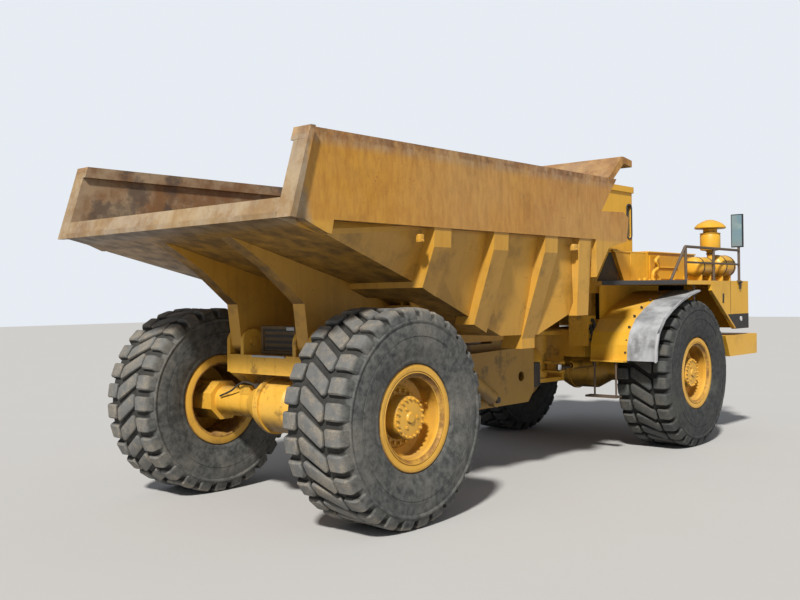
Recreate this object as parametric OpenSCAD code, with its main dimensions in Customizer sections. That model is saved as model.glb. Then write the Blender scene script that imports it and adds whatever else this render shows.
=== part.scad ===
// Two-axle articulated dump truck. Millimetres, +X forward, +Y left, +Z up.
// Places along the truck are written from the rear axle; place() moves them to the origin,
// which is on the ground below the middle of the truck.

/* [Overall] */
// Distance between the axles
wheelbase = 6460; // [6400:10:6520]
// Distance between the middle planes of the wheels on one axle
track = 3030; // [3010:5:3050]
// Tail lip behind the rear axle
tail_overhang = 1640; // [1600:10:1680]
// Bumper front ahead of the front axle
nose_overhang = 2340; // [2320:10:2380]

/* [Wheels] */
// Tyre diameter over the lugs
tyre_d = 2180; // [2140:10:2190]
// Tyre width over the sidewalls
tyre_w = 850; // [830:5:860]
// Rim diameter at the bead seat
bead_d = 889; // [880:1:900]
// Rim diameter at the flange
flange_d = 1067; // [1050:1:1080]
// Rim width over the flanges
rim_w = 750; // [740:2:760]

/* [Articulation] */
// Steering pivot ahead of the rear axle
pivot_x = 5000; // [4980:5:5020]
// Height of the swivel tube between the two halves
swivel_z = 1300; // [1290:5:1310]
// Radius of the swivel tube
swivel_r = 150; // [140:2:160]
// Radius of the vertical steering pin
king_r = 54; // [48:1:58]
// Running clearance round pins and shafts
pin_gap = 0.5; // [0.3:0.1:0.8]
// Steering cylinder eyes beside the pivot
steer_arm = 400; // [390:2:410]
// Steering cylinder feet ahead of the pivot
steer_foot = 1100; // [1090:5:1110]

/* [Bed] */
// Half of the bed's width over the sideboards
bed_half_w = 1862; // [1850:2:1880]
// Height of the sideboards' lower edge
board_low_z = 2976; // [2960:4:2990]
// Height of the sideboards' top edge
board_top_z = 3780; // [3750:5:3800]
// Thickness of the floor, the lower sides and the front wall
bed_wall = 60; // [50:2:70]
// Thickness of the hollow sideboards
board_t = 120; // [110:2:130]
// Bed hinge ahead of the rear axle
hinge_x = -120; // [-130:2:-110]
// Height of the bed hinge
hinge_z = 1800; // [1795:1:1810]
// Height of the canopy's front edge
canopy_top_z = 4130; // [4100:5:4160]

/* [Tractor] */
// Height of the deck's top
deck_z = 2470; // [2460:2:2480]
// Half of the deck's width
deck_half_w = 1900; // [1880:5:1910]
// Half of the hood's width
hood_half_w = 1000; // [980:5:1010]
// Height of the hood's top
hood_top_z = 2950; // [2920:5:2980]

/* [Cab] */
// Back wall ahead of the rear axle
cab_back_x = 5500; // [5500:5:5530]
// Front wall ahead of the rear axle
cab_front_x = 6640; // [6620:5:6680]
// Half of the cab's width
cab_half_w = 800; // [780:5:810]
// Height of the roof's top
cab_top_z = 3960; // [3930:5:3990]
// Thickness of the cab's walls
cab_wall = 60; // [50:1:70]

/* [Hidden] */
$fn = 48;

// Sides and axles
right = -1;
left = 1;
rear_x = 0;
front_x = wheelbase;
axle_z = tyre_d / 2;
nose_x = wheelbase + nose_overhang;
tail_x = -tail_overhang;
mid_x = (nose_x + tail_x) / 2;
seat_gap = 0.3;

// Paint
tan_paint = "#c79a4a";
yellow_paint = "#d6a431";
dark_steel = "#3a3936";
rubber = "#2f2f30";

// Frames
rail_in = 460;
rail_out = 640;
rail_top = 1660;
tractor_rail_in = 560;
tractor_rail_out = 640;
tractor_rail_low = 1350;
tractor_rail_top = 1750;
ear_t = 60;
ear_low_z = 980;
ear_top_z = 1680;
bulkhead_x = pivot_x + 350;
knuckle_r = 170;

// Steering cylinders
steer_z = 1215;
steer_eye_r = 75;
steer_eye_t = 80;
steer_pin_r = 30;
steer_barrel_r = 62;
steer_rod_r = 34;
steer_foot_y = 380;

// Bed shape: x, underside height and half width of the floor at each bend
board_in = bed_half_w - board_t;
lip_h = 180;
end_flange = 62;
floor_t = 50;
wall_x = 3500;
floor_bends = [[tail_x, 2970, board_in],
               [-1100, 2845, board_in],
               [300, 2460, 1490],
               [1200, 2130, 1425],
               [2000, 1812, 1425],
               [2760, 1800, 1450],
               [3190, 2025, 1600],
               [wall_x, 2150, 1660]];
front_bend = floor_bends[len(floor_bends) - 1];
function floor_z(x) = lookup(x, [for (bend = floor_bends) [bend.x, bend.y]]);
side_top = [board_low_z - 26, board_low_z + 24];
rib_w = 275;
rib_bend_z = 2780;
bearer_y = 550;
bearer_t = 180;
bearer_side = bearer_y + bearer_t / 2 + seat_gap;
// Ribs: middle x, y of the outer foot, y of the inner foot, height of the foot behind and ahead,
// height of the upright part of the foot
ribs = [[510, 1640, bearer_side, 2370, 2270, 0],
        [1535, 1525, 1260, 1960, 1860, 0],
        [2555, 1500, 1200, 1640, 1640, 120],
        [3330, 1795, 1680, 2020, 2020, 0]];
bearer_low = 1690;
foot_r = 128;
hinge_pin_r = 50;

// Hoist cylinders
hoist_y = 950;
hoist_foot_x = 2600;
hoist_foot_z = 980;
hoist_eye_x = 1100;
hoist_eye_z = 1850;
hoist_barrel_r = 95;
hoist_rod_r = 42;
hoist_eye_r = 90;
hoist_pin_r = 40;
hoist_eye_t = 90;

// Hubs
hub_r = 180;
hub_flange_r = 235;
spindle_r = 90;
carrier_r = 240;
carrier_end = track / 2 - 30;
rim_t = 30;

// Moves the truck's own places to the origin
module place() { translate([-mid_x, 0, 0]) children(); }

// The same shape on the left and on the right
module both_sides() {
  children();
  mirror([0, 1, 0]) children();
}

// A shape drawn for the left side, put on the named side
module on_side(side) { mirror([0, side == right ? 1 : 0, 0]) children(); }

// A box between two corners
module box(low, high) { translate(low) cube(high - low); }

// A plate with an outline of x, z points, from y0 to y1
module side_plate(points, y0, y1) {
  translate([0, y1, 0]) rotate([90, 0, 0]) linear_extrude(height = y1 - y0) polygon(points);
}

// A plate with an outline of y, z points, from x0 to x1
module cross_plate(points, x0, x1) {
  translate([x0, 0, 0]) rotate([90, 0, 90]) linear_extrude(height = x1 - x0) polygon(points);
}

// A plate with an outline of x, y points, from z0 to z1
module flat_plate(points, z0, z1) {
  translate([0, 0, z0]) linear_extrude(height = z1 - z0) polygon(points);
}

// A round bar from one point to another
module bar(from, to, r) {
  way = to - from;
  turn = [0, acos(way.z / norm(way)), atan2(way.y, way.x)];
  translate(from) rotate(turn) cylinder(r = r, h = norm(way));
}

// A round bar across the truck
module cross_bar(x, z, r, y0, y1) { bar([x, y0, z], [x, y1, z], r); }

// A rectangle with round corners, centred
module round_rect(size, r) {
  union() {
    square([size.x - 2 * r, size.y], center = true);
    square([size.x, size.y - 2 * r], center = true);
    for (sx = [-1, 1], sy = [-1, 1])
      translate([sx * (size.x / 2 - r), sy * (size.y / 2 - r)]) circle(r = r);
  }
}

// A window through a wall that faces along x: y and z of its middle, its size and corner
module window_x(x0, x1, middle, size, r) {
  translate([x0, middle.x, middle.y]) rotate([90, 0, 90])
    linear_extrude(height = x1 - x0) round_rect(size, r);
}

// A window through a wall that faces along y: x and z of its middle, its size and corner
module window_y(y0, y1, middle, size, r) {
  translate([middle.x, y1, middle.y]) rotate([90, 0, 0])
    linear_extrude(height = y1 - y0) round_rect(size, r);
}

// Puts a wheel's shape, drawn with its outer side up, on an axle
module at_wheel(x, side) {
  translate([x, side * track / 2, axle_z]) rotate([-90 * side, 0, 0]) children();
}

// Tyres and rims
tyre_r = tyre_d / 2;
lugs = 28;
lug_w = 165;
lug_top = sqrt(pow(tyre_r, 2) - pow(lug_w / 2, 2));
tread_r = tyre_r - 60;
ridge_r = tyre_r - 133;
// The lug's outline: radius and distance from the wheel's middle plane
lug_outline = [[tread_r - 30, 210], [lug_top, 210], [lug_top - 10, 0.424 * tyre_w],
               [tread_r - 10, 0.465 * tyre_w], [ridge_r, 0.482 * tyre_w], [ridge_r - 10, 0.447 * tyre_w]];
// The carcass: radius and half width
carcass = [[flange_d / 2 + 10, 0.447 * tyre_w], [flange_d / 2 + 240, 0.5 * tyre_w],
           [ridge_r, 0.488 * tyre_w], [tread_r, 0.39 * tyre_w]];
bar_size = [95, 280];
bar_reach = (bar_size.x + bar_size.y) / 2 * sin(45);
bar_top = sqrt(pow(tyre_r, 2) - pow(bar_reach, 2));

module tyre(x, side) {
  bead_half = rim_w / 2 - rim_t;
  seat_r = bead_d / 2 + seat_gap;
  lip_r = flange_d / 2 + seat_gap;
  pitch = 360 / lugs;
  // A lug's corner stands on the ground
  start = 90 + asin(lug_w / 2 / tyre_r);
  inner = [for (i = [len(carcass) - 1:-1:0]) [carcass[i].x, -carcass[i].y]];
  color(rubber) place() at_wheel(x, side) {
    rotate_extrude($fn = 36)
      polygon(concat([[seat_r, -bead_half], [seat_r, bead_half], [lip_r, bead_half]], carcass, inner,
                     [[lip_r, -bead_half]]));
    for (i = [0:lugs - 1]) {
      rotate([0, 0, start + i * pitch]) lug();
      rotate([0, 0, start + (i + 0.5) * pitch]) mirror([0, 0, 1]) lug();
      rotate([0, 0, start + (i + 0.25) * pitch]) translate([bar_top - 35, 0, 0])
        rotate([45 * side, 0, 0]) cube([70, bar_size.x, bar_size.y], center = true);
    }
  }
}

// One shoulder lug, drawn on the wheel's x axis
module lug() {
  translate([0, lug_w / 2, 0]) rotate([90, 0, 0]) linear_extrude(height = lug_w) polygon(lug_outline);
}

module rim(x, side) {
  seat_r = bead_d / 2;
  half = rim_w / 2;
  ring_r = 436;
  dish_out = 120;
  hub_face = half - 36;
  hub_back = -20;
  color(yellow_paint) place() at_wheel(x, side) difference() {
    rotate_extrude() polygon([
      [0, hub_face], [hub_r, hub_face], [hub_r + 10, hub_face - 15], [hub_r + 10, 130],
      [hub_flange_r, 130], [hub_flange_r, 75], [seat_r - rim_t, dish_out], [seat_r - rim_t, half - 50],
      [ring_r - 20, half - 20], [ring_r, half], [flange_d / 2, half], [flange_d / 2, half - rim_t],
      [seat_r, half - rim_t], [seat_r, -half + rim_t], [flange_d / 2, -half + rim_t],
      [flange_d / 2, -half], [seat_r - rim_t, -half], [seat_r - rim_t, dish_out - 45],
      [hub_flange_r, 30], [hub_flange_r, hub_back], [0, hub_back]]);
    translate([0, 0, hub_back - 1]) cylinder(r = spindle_r + pin_gap, h = 110);
  }
}

// An axle: tube, bowl, carriers and the spindles in the hubs
module axle(x) {
  tube_r = 170;
  bowl_r = 300;
  flange_r = 270;
  translate([x, 0, axle_z]) {
    rotate([-90, 0, 0]) rotate_extrude() polygon([
      [0, -carrier_end], [tube_r, -carrier_end], [tube_r, -480], [bowl_r, -230],
      [bowl_r, 230], [tube_r, 480], [tube_r, carrier_end], [0, carrier_end]]);
    rotate([-90, 0, 0]) translate([0, 0, 120]) cylinder(r = bowl_r + 25, h = 50);
    both_sides() {
      translate([0, carrier_end, 0]) rotate([90, 22.5, 0]) cylinder(r = carrier_r, h = 420, $fn = 8);
      translate([0, carrier_end - 10, 0]) rotate([-90, 0, 0]) cylinder(r = spindle_r, h = 120);
    }
  }
}

module front_axle() {
  strut_y = 800;
  color(yellow_paint) place() {
    axle(front_x);
    both_sides() {
      bar([front_x, strut_y, axle_z + 100], [front_x, strut_y, tractor_rail_low + 250], 75);
      bar([front_x, strut_y, axle_z + 100], [front_x, strut_y, tractor_rail_top - 60], 50);
      cross_bar(front_x, tractor_rail_top - 110, 50, tractor_rail_out + seat_gap, strut_y + 60);
    }
  }
}

module rear_axle() {
  seat_top = rail_low_over_axle - seat_gap;
  color(yellow_paint) place() {
    axle(rear_x);
    both_sides() box([-140, rail_in, axle_z + 100], [140, rail_out, seat_top]);
  }
}

// Rear frame
rail_low_over_axle = 1300;
neck_x = 3750;
neck_end_x = pivot_x - 620;
tube_x0 = pivot_x - 640;
tube_x1 = pivot_x - 260;
collar_seat = 45;
panel_y = 820;

// Half width of the neck ahead of the rails
function neck_half(x) = lookup(x, [[neck_x - 200, rail_out], [neck_end_x, 330]]);

module rear_frame() {
  lug_r = 145;
  lug_t = 50;
  lug_gap = 5;
  rail = [[hinge_x - 150, 1450], [hinge_x - 150, rail_top], [neck_x, rail_top], [neck_x, 920],
          [2300, 920], [1400, rail_low_over_axle], [-60, rail_low_over_axle]];
  neck = [[neck_x - 200, rail_out], [neck_end_x, neck_half(neck_end_x)]];
  color(yellow_paint) place() difference() {
    union() {
      both_sides() {
        side_plate(rail, rail_in, rail_out);
        for (y = [rail_in - lug_gap - lug_t, rail_out + lug_gap]) {
          side_plate([[hinge_x - lug_r, 1460], [hinge_x - lug_r, hinge_z], [hinge_x + lug_r, hinge_z],
                      [hinge_x + lug_r, 1460]], y, y + lug_t);
          cross_bar(hinge_x, hinge_z, lug_r, y, y + lug_t);
        }
        box([hinge_x - lug_r, rail_out - 20, 1460], [hinge_x + lug_r, rail_out + lug_gap + 5, rail_top - 10]);
        cross_bar(hinge_x, hinge_z, hinge_pin_r, rail_in - 70, rail_out + 70);
        box([3000, rail_in, rail_top - 10], [3200, rail_out, bearer_low - seat_gap]);
      }
      box([hinge_x - 150, -rail_in, 1450], [hinge_x + 80, rail_in, rail_top]);
      box([1900, -rail_in, 1350], [2100, rail_in, 1600]);
      flat_plate(concat(neck, [for (i = [1, 0]) [neck[i].x, -neck[i].y]]), 980, 1620);
      bar([tube_x0 - 30, 0, swivel_z], [tube_x1, 0, swivel_z], 240);
    }
    bar([tube_x0 - 60, 0, swivel_z], [tube_x1 + 1, 0, swivel_z], swivel_r + pin_gap);
    bar([neck_x - 100, 0, swivel_z], [tube_x0 - collar_seat, 0, swivel_z], 230);
    box([neck_x - 260, -300, 1060], [neck_x - 50, 300, 1540]);
  }
}

// Side panels outside the rails, on their stays
panel_t = 30;
stays = [2320, 3620];
module frame_panels() {
  panel = [[2250, 1560], [3700, 1600], [3700, 1000], [3560, 860], [2450, 860], [2250, 1060]];
  hole = [3400, 1210, 65];
  color(yellow_paint) place() both_sides() {
    difference() {
      side_plate(panel, panel_y - panel_t, panel_y);
      cross_bar(hole[0], hole[1], hole[2], panel_y - panel_t - 1, panel_y + 1);
    }
    for (x = stays) box([x, rail_out + seat_gap, 950], [x + 40, panel_y - 10, 1550]);
  }
}

module hoist_pins() {
  color(dark_steel) place() both_sides()
    cross_bar(hoist_foot_x, hoist_foot_z, hoist_pin_r, panel_y + seat_gap, hoist_y + 75);
}

// Dark upright bottles beside the neck
module accumulators() {
  // x, clear of the neck's side
  bottles = [4090, 4280];
  r = 75;
  gap = 0.4;
  clamp = [4020, 4360];
  color(dark_steel) place() on_side(right) {
    for (x = bottles) translate([x, neck_half(x) + r + 12, 1000]) cylinder(r = r, h = 330);
    for (z = [1060, 1240])
      flat_plate([[clamp[0], neck_half(clamp[0]) + gap], [clamp[1], neck_half(clamp[1]) + gap],
                  [clamp[1], neck_half(clamp[1]) + 70], [clamp[0], neck_half(clamp[0]) + 70]], z, z + 25);
  }
}

module drive_shaft() {
  shaft_z0 = axle_z + 20;
  color(dark_steel) place() {
    bar([330, 0, shaft_z0], [1850, 0, shaft_z0 + 90], 60);
    bar([300, 0, shaft_z0], [380, 0, shaft_z0 + 4], 110);
  }
}

// Middle joint: vertical barrel, arms for the steering cylinders, swivel tube
module hitch() {
  gap = 5;
  arm_low = steer_z - steer_eye_t / 2 - 10;
  arm_high = steer_z + steer_eye_t / 2 + 10;
  color(dark_steel) place() {
    translate([pivot_x, 0, ear_low_z + ear_t + gap])
      cylinder(r = knuckle_r, h = ear_top_z - ear_low_z - ear_t - 2 * gap);
    translate([pivot_x, 0, ear_low_z - 20]) cylinder(r = king_r, h = ear_top_z - ear_low_z + ear_t + 40);
    bar([pivot_x - 100, 0, swivel_z], [tube_x0 - collar_seat - 35, 0, swivel_z], swivel_r);
    bar([pivot_x - 130, 0, swivel_z], [tube_x1 + 10, 0, swivel_z], 205);
    bar([tube_x0 - collar_seat - 35, 0, swivel_z], [tube_x0 - collar_seat - gap, 0, swivel_z], 190);
    both_sides() for (z = [arm_low - 30, arm_high])
      flat_plate([[pivot_x - 80, 0], [pivot_x - 70, steer_arm + 60], [pivot_x + 70, steer_arm + 60],
                  [pivot_x + 80, 0]], z, z + 30);
  }
}

function ram_bore(barrel_r) = barrel_r - 14;

// A cylinder's barrel along +X, its eye at the origin
module ram_barrel(eye_r, eye_t, pin_r, barrel_r, length) {
  difference() {
    union() {
      translate([0, 0, -eye_t / 2]) cylinder(r = eye_r, h = eye_t);
      rotate([0, 90, 0]) translate([0, 0, eye_r * 0.7]) cylinder(r = barrel_r, h = length - eye_r * 0.7);
    }
    translate([0, 0, -barrel_r - 1]) cylinder(r = pin_r + pin_gap, h = 2 * barrel_r + 2);
    rotate([0, 90, 0]) translate([0, 0, eye_r + 60]) cylinder(r = ram_bore(barrel_r), h = length);
  }
}

// A cylinder's rod along +X to its eye at the given length, starting inside the barrel
module ram_rod(eye_r, eye_t, rod_r, piston_r, start, length) {
  translate([length, 0, -eye_t / 2]) cylinder(r = eye_r, h = eye_t);
  rotate([0, 90, 0]) translate([0, 0, start]) cylinder(r = rod_r, h = length - eye_r * 0.7 - start);
  rotate([0, 90, 0]) translate([0, 0, start]) cylinder(r = piston_r, h = 50);
}

// Steering cylinders, from the tractor's feet back to the middle joint's arms
steer_way = [-steer_foot, -(steer_arm - steer_foot_y)];
steer_len = norm(steer_way);
steer_barrel_len = 760;
module at_steer_foot(side) {
  translate([pivot_x + steer_foot, side * steer_foot_y, steer_z])
    rotate([0, 0, atan2(side * (steer_arm - steer_foot_y), -steer_foot)]) children();
}
module steer_barrel(side) {
  color(dark_steel) place() at_steer_foot(side)
    ram_barrel(steer_eye_r, steer_eye_t, steer_pin_r, steer_barrel_r, steer_barrel_len);
}
module steer_rod(side) {
  color("silver") place() at_steer_foot(side)
    ram_rod(steer_eye_r - 5, steer_eye_t, steer_rod_r, ram_bore(steer_barrel_r) - pin_gap,
            steer_barrel_len - 330, steer_len);
}

// Hoist cylinders, from the rear frame up to the bed
hoist_way = [hoist_eye_x - hoist_foot_x, hoist_eye_z - hoist_foot_z];
hoist_len = norm(hoist_way);
hoist_barrel_len = hoist_len - 130;
module at_hoist_foot(side) {
  translate([hoist_foot_x, side * hoist_y, hoist_foot_z])
    rotate([0, -atan2(hoist_way.y, hoist_way.x), 0]) rotate([90, 0, 0]) children();
}
module hoist_barrel(side) {
  color(dark_steel) place() at_hoist_foot(side)
    ram_barrel(hoist_eye_r, hoist_eye_t, hoist_pin_r, hoist_barrel_r, hoist_barrel_len);
}
module hoist_rod(side) {
  color("silver") place() at_hoist_foot(side)
    ram_rod(hoist_eye_r - 10, hoist_eye_t, hoist_rod_r, ram_bore(hoist_barrel_r) - pin_gap, 200, hoist_len);
}

// Bed
// The room that the lower sides and the floor enclose, out to their outer faces
module bed_inside(side) {
  for (i = [1:len(floor_bends) - 2]) hull() for (bend = [floor_bends[i], floor_bends[i + 1]])
    on_side(side) {
      box([bend.x - 1, 0, side_top[0]], [bend.x + 1, board_in + 2, side_top[1]]);
      box([bend.x - 1, 0, bend.y], [bend.x + 1, bend.z + bed_wall, bend.y + floor_t]);
    }
}

module bed_floor() {
  low = [for (bend = floor_bends) [bend.x, bend.y]];
  high = [for (i = [len(low) - 1:-1:0]) low[i] + [0, floor_t]];
  edge = [for (bend = floor_bends) [bend.x, bend.z - 2 * seat_gap]];
  far = [for (i = [len(edge) - 1:-1:0]) [edge[i].x, -edge[i].y]];
  lip = board_in - seat_gap;
  color(tan_paint) place() {
    intersection() {
      side_plate(concat(low, high), -board_in, board_in);
      flat_plate(concat(edge, far), 1000, 4000);
    }
    side_plate([[tail_x, 2970], [tail_x + 60, 2970 + lip_h], [tail_x + 150, 2970 + lip_h],
                [tail_x + 230, 2990]], -lip, lip);
  }
}

// The canopy leans forward from the top of the front wall
wall_foot = [wall_x + bed_wall, front_bend.y];
wall_bend = [3660, 3320];
canopy_tip = [4560, canopy_top_z];
canopy_back = [[wall_bend.x - bed_wall, wall_bend.y + 30], [canopy_tip.x - bed_wall, canopy_tip.y]];
wing_nose = [4440, 3290];

// How far forward the canopy's rear face is at a height
function canopy_back_x(z) = lookup(z, [for (point = canopy_back) [point.y, point.x]]);

module bed_side(side) {
  rail_h = 120;
  rail_gap = 10;
  lean = 256;
  board = [[tail_x, 2970], [tail_x + lean, board_top_z], [canopy_tip.x - 440, board_top_z],
           [wall_bend.x + 60, wall_bend.y + 20], [wing_nose.x - 140, wing_nose.y + 70], wing_nose,
           [wing_nose.x - 60, board_low_z], [3900, board_low_z - 100], [3580, 2500],
           [3580, board_low_z], [-1060, board_low_z], [-1090, 2850], [-1130, 2850],
           [-1390, 2950], [-1420, 2970]];
  color(tan_paint) place() on_side(side) {
    side_plate(board, board_in, bed_half_w);
    side_plate([[tail_x, 2970], [tail_x + lean, board_top_z], [tail_x + lean + 60, board_top_z],
                [tail_x + 70, 2970]], board_in, bed_half_w + end_flange);
    side_plate([[tail_x + lean - 40, board_top_z - rail_h], [tail_x + lean, board_top_z],
                [canopy_back_x(board_top_z) - rail_gap, board_top_z],
                [canopy_back_x(board_top_z - rail_h) - rail_gap, board_top_z - rail_h]],
               board_in - 40, bed_half_w);
    for (i = [1:len(floor_bends) - 2]) hull() for (bend = [floor_bends[i], floor_bends[i + 1]]) {
      wall = min(bed_wall, board_in - bend.z);
      box([bend.x - 1, board_in - wall, side_top[0]], [bend.x + 1, board_in + 2, side_top[1]]);
      box([bend.x - 1, bend.z, bend.y], [bend.x + 1, bend.z + bed_wall, bend.y + floor_t]);
    }
  }
}

module bed_front() {
  t = bed_wall;
  w = board_in - seat_gap;
  section = [[front_bend.z + t, wall_foot.y], [w, 2700], [w, 4400]];
  color(tan_paint) place() intersection() {
    side_plate([wall_foot, [wall_foot.x - t + 1.5, wall_foot.y], canopy_back[0], canopy_back[1],
                canopy_tip, [canopy_tip.x + 220, canopy_tip.y - 30],
                [canopy_tip.x + 220, canopy_tip.y - 120], [canopy_tip.x - 10, canopy_tip.y - 90],
                [wall_bend.x, wall_bend.y]], -bed_half_w, bed_half_w);
    cross_plate(concat(section, [for (i = [2:-1:0]) [-section[i].x, section[i].y]]), 3000, 5000);
  }
}

// A rib's outline in y and z, down to the lower end of its foot
module rib_section(rib) {
  foot = min(rib[3], rib[4]);
  slant = 65;
  under = floor_z(rib[0]) + 100;
  cross_plate(concat([[board_in - 20, board_low_z - seat_gap], [bed_half_w - 12, board_low_z - seat_gap],
                      [bed_half_w - 22, rib_bend_z]],
                     rib[5] > 0 ? [[rib[1], foot + rib[5]]] : [],
                     [[rib[1], foot], [rib[2], foot],
                      [rib[2] + (rib[2] > bearer_side ? slant : 0), under]]),
              rib[0] - rib_w / 2, rib[0] + rib_w / 2);
}

module bed_ribs() {
  color(tan_paint) place() for (side = [left, right]) difference() {
    on_side(side) for (rib = ribs) intersection() {
      rib_section(rib);
      side_plate([[rib[0] - rib_w / 2, rib[3]], [rib[0] + rib_w / 2, rib[4]],
                  [rib[0] + rib_w / 2, board_top_z], [rib[0] - rib_w / 2, board_top_z]], 0, 2 * bed_half_w);
    }
    bed_inside(side);
  }
}

module bed_bearers() {
  top = [for (i = [len(floor_bends) - 2:-1:1]) [floor_bends[i].x, floor_bends[i].y - seat_gap]];
  eye_ear = 28;
  color(tan_paint) place() both_sides() {
    difference() {
      union() {
        side_plate(concat([[-1250, floor_z(-1250) - seat_gap], [-770, 2600], [-300, 2220],
                           [hinge_x - foot_r, hinge_z], [hinge_x + foot_r, hinge_z], [180, bearer_low + 60],
                           [260, bearer_low], [3300, bearer_low], [3300, floor_z(3300) - seat_gap]], top),
                   bearer_y - bearer_t / 2, bearer_y + bearer_t / 2);
        cross_bar(hinge_x, hinge_z, foot_r, bearer_y - bearer_t / 2, bearer_y + bearer_t / 2);
      }
      cross_bar(hinge_x, hinge_z, hinge_pin_r + pin_gap, bearer_y - bearer_t, bearer_y + bearer_t);
    }
    for (y = [hoist_y - hoist_eye_t / 2 - 6 - eye_ear, hoist_y + hoist_eye_t / 2 + 6])
      side_plate([[950, floor_z(950) - seat_gap], [1000, hoist_eye_z - 20], [1060, hoist_eye_z - 90],
                  [1140, hoist_eye_z - 90], [1200, hoist_eye_z - 20], [1250, floor_z(1250) - seat_gap]],
                 y, y + eye_ear);
    for (x = [960, 1180]) box([x, bearer_y + bearer_t / 2 - 5, floor_z(x + 60) - 130],
                              [x + 60, hoist_y + hoist_eye_t / 2 + 20, floor_z(x + 60) - 12]);
  }
}

// Tractor frame
rail_end_x = nose_x - 380;
bracket_half = 240;
module tractor_frame() {
  rail = [[bulkhead_x, tractor_rail_top], [rail_end_x, tractor_rail_top],
          [rail_end_x, tractor_rail_low - 60], [front_x + 500, tractor_rail_low - 60],
          [front_x + 350, tractor_rail_low], [bulkhead_x, tractor_rail_low]];
  color(yellow_paint) place() {
    both_sides() {
      side_plate(rail, tractor_rail_in, tractor_rail_out);
      box([bulkhead_x, bracket_half + seat_gap, tractor_rail_low],
          [bulkhead_x + 60, tractor_rail_out, tractor_rail_top]);
      box([pivot_x + steer_foot - 90, bracket_half + 60, tractor_rail_low],
          [pivot_x + steer_foot + 90, tractor_rail_in + 5, tractor_rail_low + 60]);
      for (x = [cab_back_x + 60, cab_front_x - 180])
        box([x, tractor_rail_in, tractor_rail_top - 5], [x + 120, tractor_rail_out, cab_floor_z - seat_gap]);
    }
    for (x = [pivot_x + 1030, front_x + 800, rail_end_x - 130])
      box([x, -tractor_rail_in - 5, tractor_rail_low],
          [x + 120, tractor_rail_in + 5, tractor_rail_low + 120]);
  }
}

// Ears that hold the upright pin of the middle joint
module pivot_bracket() {
  ear = [[pivot_x, -200], [bulkhead_x + 60, -bracket_half], [bulkhead_x + 60, bracket_half], [pivot_x, 200]];
  color(yellow_paint) place() difference() {
    union() {
      for (z = [ear_low_z, ear_top_z]) {
        flat_plate(ear, z, z + ear_t);
        translate([pivot_x, 0, z]) cylinder(r = 200, h = ear_t);
      }
      box([bulkhead_x, -bracket_half, ear_low_z], [bulkhead_x + 60, bracket_half, ear_top_z + ear_t]);
      box([bulkhead_x + 50, -bracket_half, 1400], [bulkhead_x + 600, bracket_half, tractor_rail_top]);
    }
    translate([pivot_x, 0, ear_low_z - 10]) cylinder(r = king_r + pin_gap, h = 1000);
  }
}

module steer_pins() {
  color(dark_steel) place() both_sides() translate([pivot_x + steer_foot, steer_foot_y, steer_z - 55])
    cylinder(r = steer_pin_r, h = tractor_rail_low - seat_gap - steer_z + 55);
}

module valve_box() {
  color(yellow_paint) place() on_side(right)
    box([bulkhead_x - 230, 510, 1530], [bulkhead_x - seat_gap, 830, 1970]);
}

module front_bumper() {
  low = 1270;
  high = 1600;
  beam_x = nose_x - 350;
  jaw_z = [1375, 1490];
  tow_pin_back = 70;
  tow_pin_r = 32;
  color(yellow_paint) place() difference() {
    union() {
      box([beam_x, -deck_half_w, low], [nose_x, deck_half_w, high]);
      both_sides() {
        side_plate([[nose_x - 1130, low], [nose_x - 1300, low + 330], [beam_x + 10, high],
                    [beam_x + 10, low]], deck_half_w - 500, deck_half_w);
        box([rail_end_x + seat_gap, tractor_rail_in, low + 20], [beam_x + 20, tractor_rail_out, high]);
      }
    }
    box([nose_x - 150, -110, jaw_z[0]], [nose_x + 1, 110, jaw_z[1]]);
    translate([nose_x - tow_pin_back, 0, low + 60]) cylinder(r = tow_pin_r, h = high);
  }
}

module engine() {
  color(dark_steel) place() {
    box([6740, -420, 1500], [8100, 420, 2700]);
    both_sides() for (x = [6900, 7800]) box([x, 400, 1500], [x + 150, tractor_rail_in - seat_gap, 1600]);
  }
}

// Hood and grille
hood_x0 = cab_front_x + 30;
hood_x1 = nose_x - 370;
module hood() {
  t = 40;
  color(yellow_paint) place() difference() {
    side_plate([[hood_x0, deck_z + seat_gap], [hood_x0, hood_top_z], [hood_x1 - 60, hood_top_z],
                [hood_x1, hood_top_z - 60], [hood_x1, deck_z + seat_gap]], -hood_half_w, hood_half_w);
    box([hood_x0 + t, -hood_half_w + t, deck_z - 10], [hood_x1 - t, hood_half_w - t, hood_top_z - t]);
  }
}

module grille() {
  x0 = hood_x1 + seat_gap;
  half = hood_half_w - 40;
  low = 1620;
  high = hood_top_z - 70;
  border = 80;
  bars = 12;
  step = (high - low - 2 * border) / (bars + 1);
  color(dark_steel) place() {
    difference() {
      box([x0, -half, low], [x0 + 70, half, high]);
      box([x0 - 1, -half + border, low + border], [x0 + 71, half - border, high - border]);
    }
    for (i = [1:bars]) box([x0 + 20, -half + border - 1, low + border + i * step],
                           [x0 + 50, half - border + 1, low + border + i * step + 24]);
    box([x0, -30, low + border - 10], [x0 + 60, 30, high - border + 10]);
  }
}

module lamps() {
  x0 = nose_x - 350;
  color("white") place() both_sides() for (y = [1300, 1560])
    bar([x0 + seat_gap, y, 2180], [x0 + 70, y, 2180], 95);
}

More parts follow.
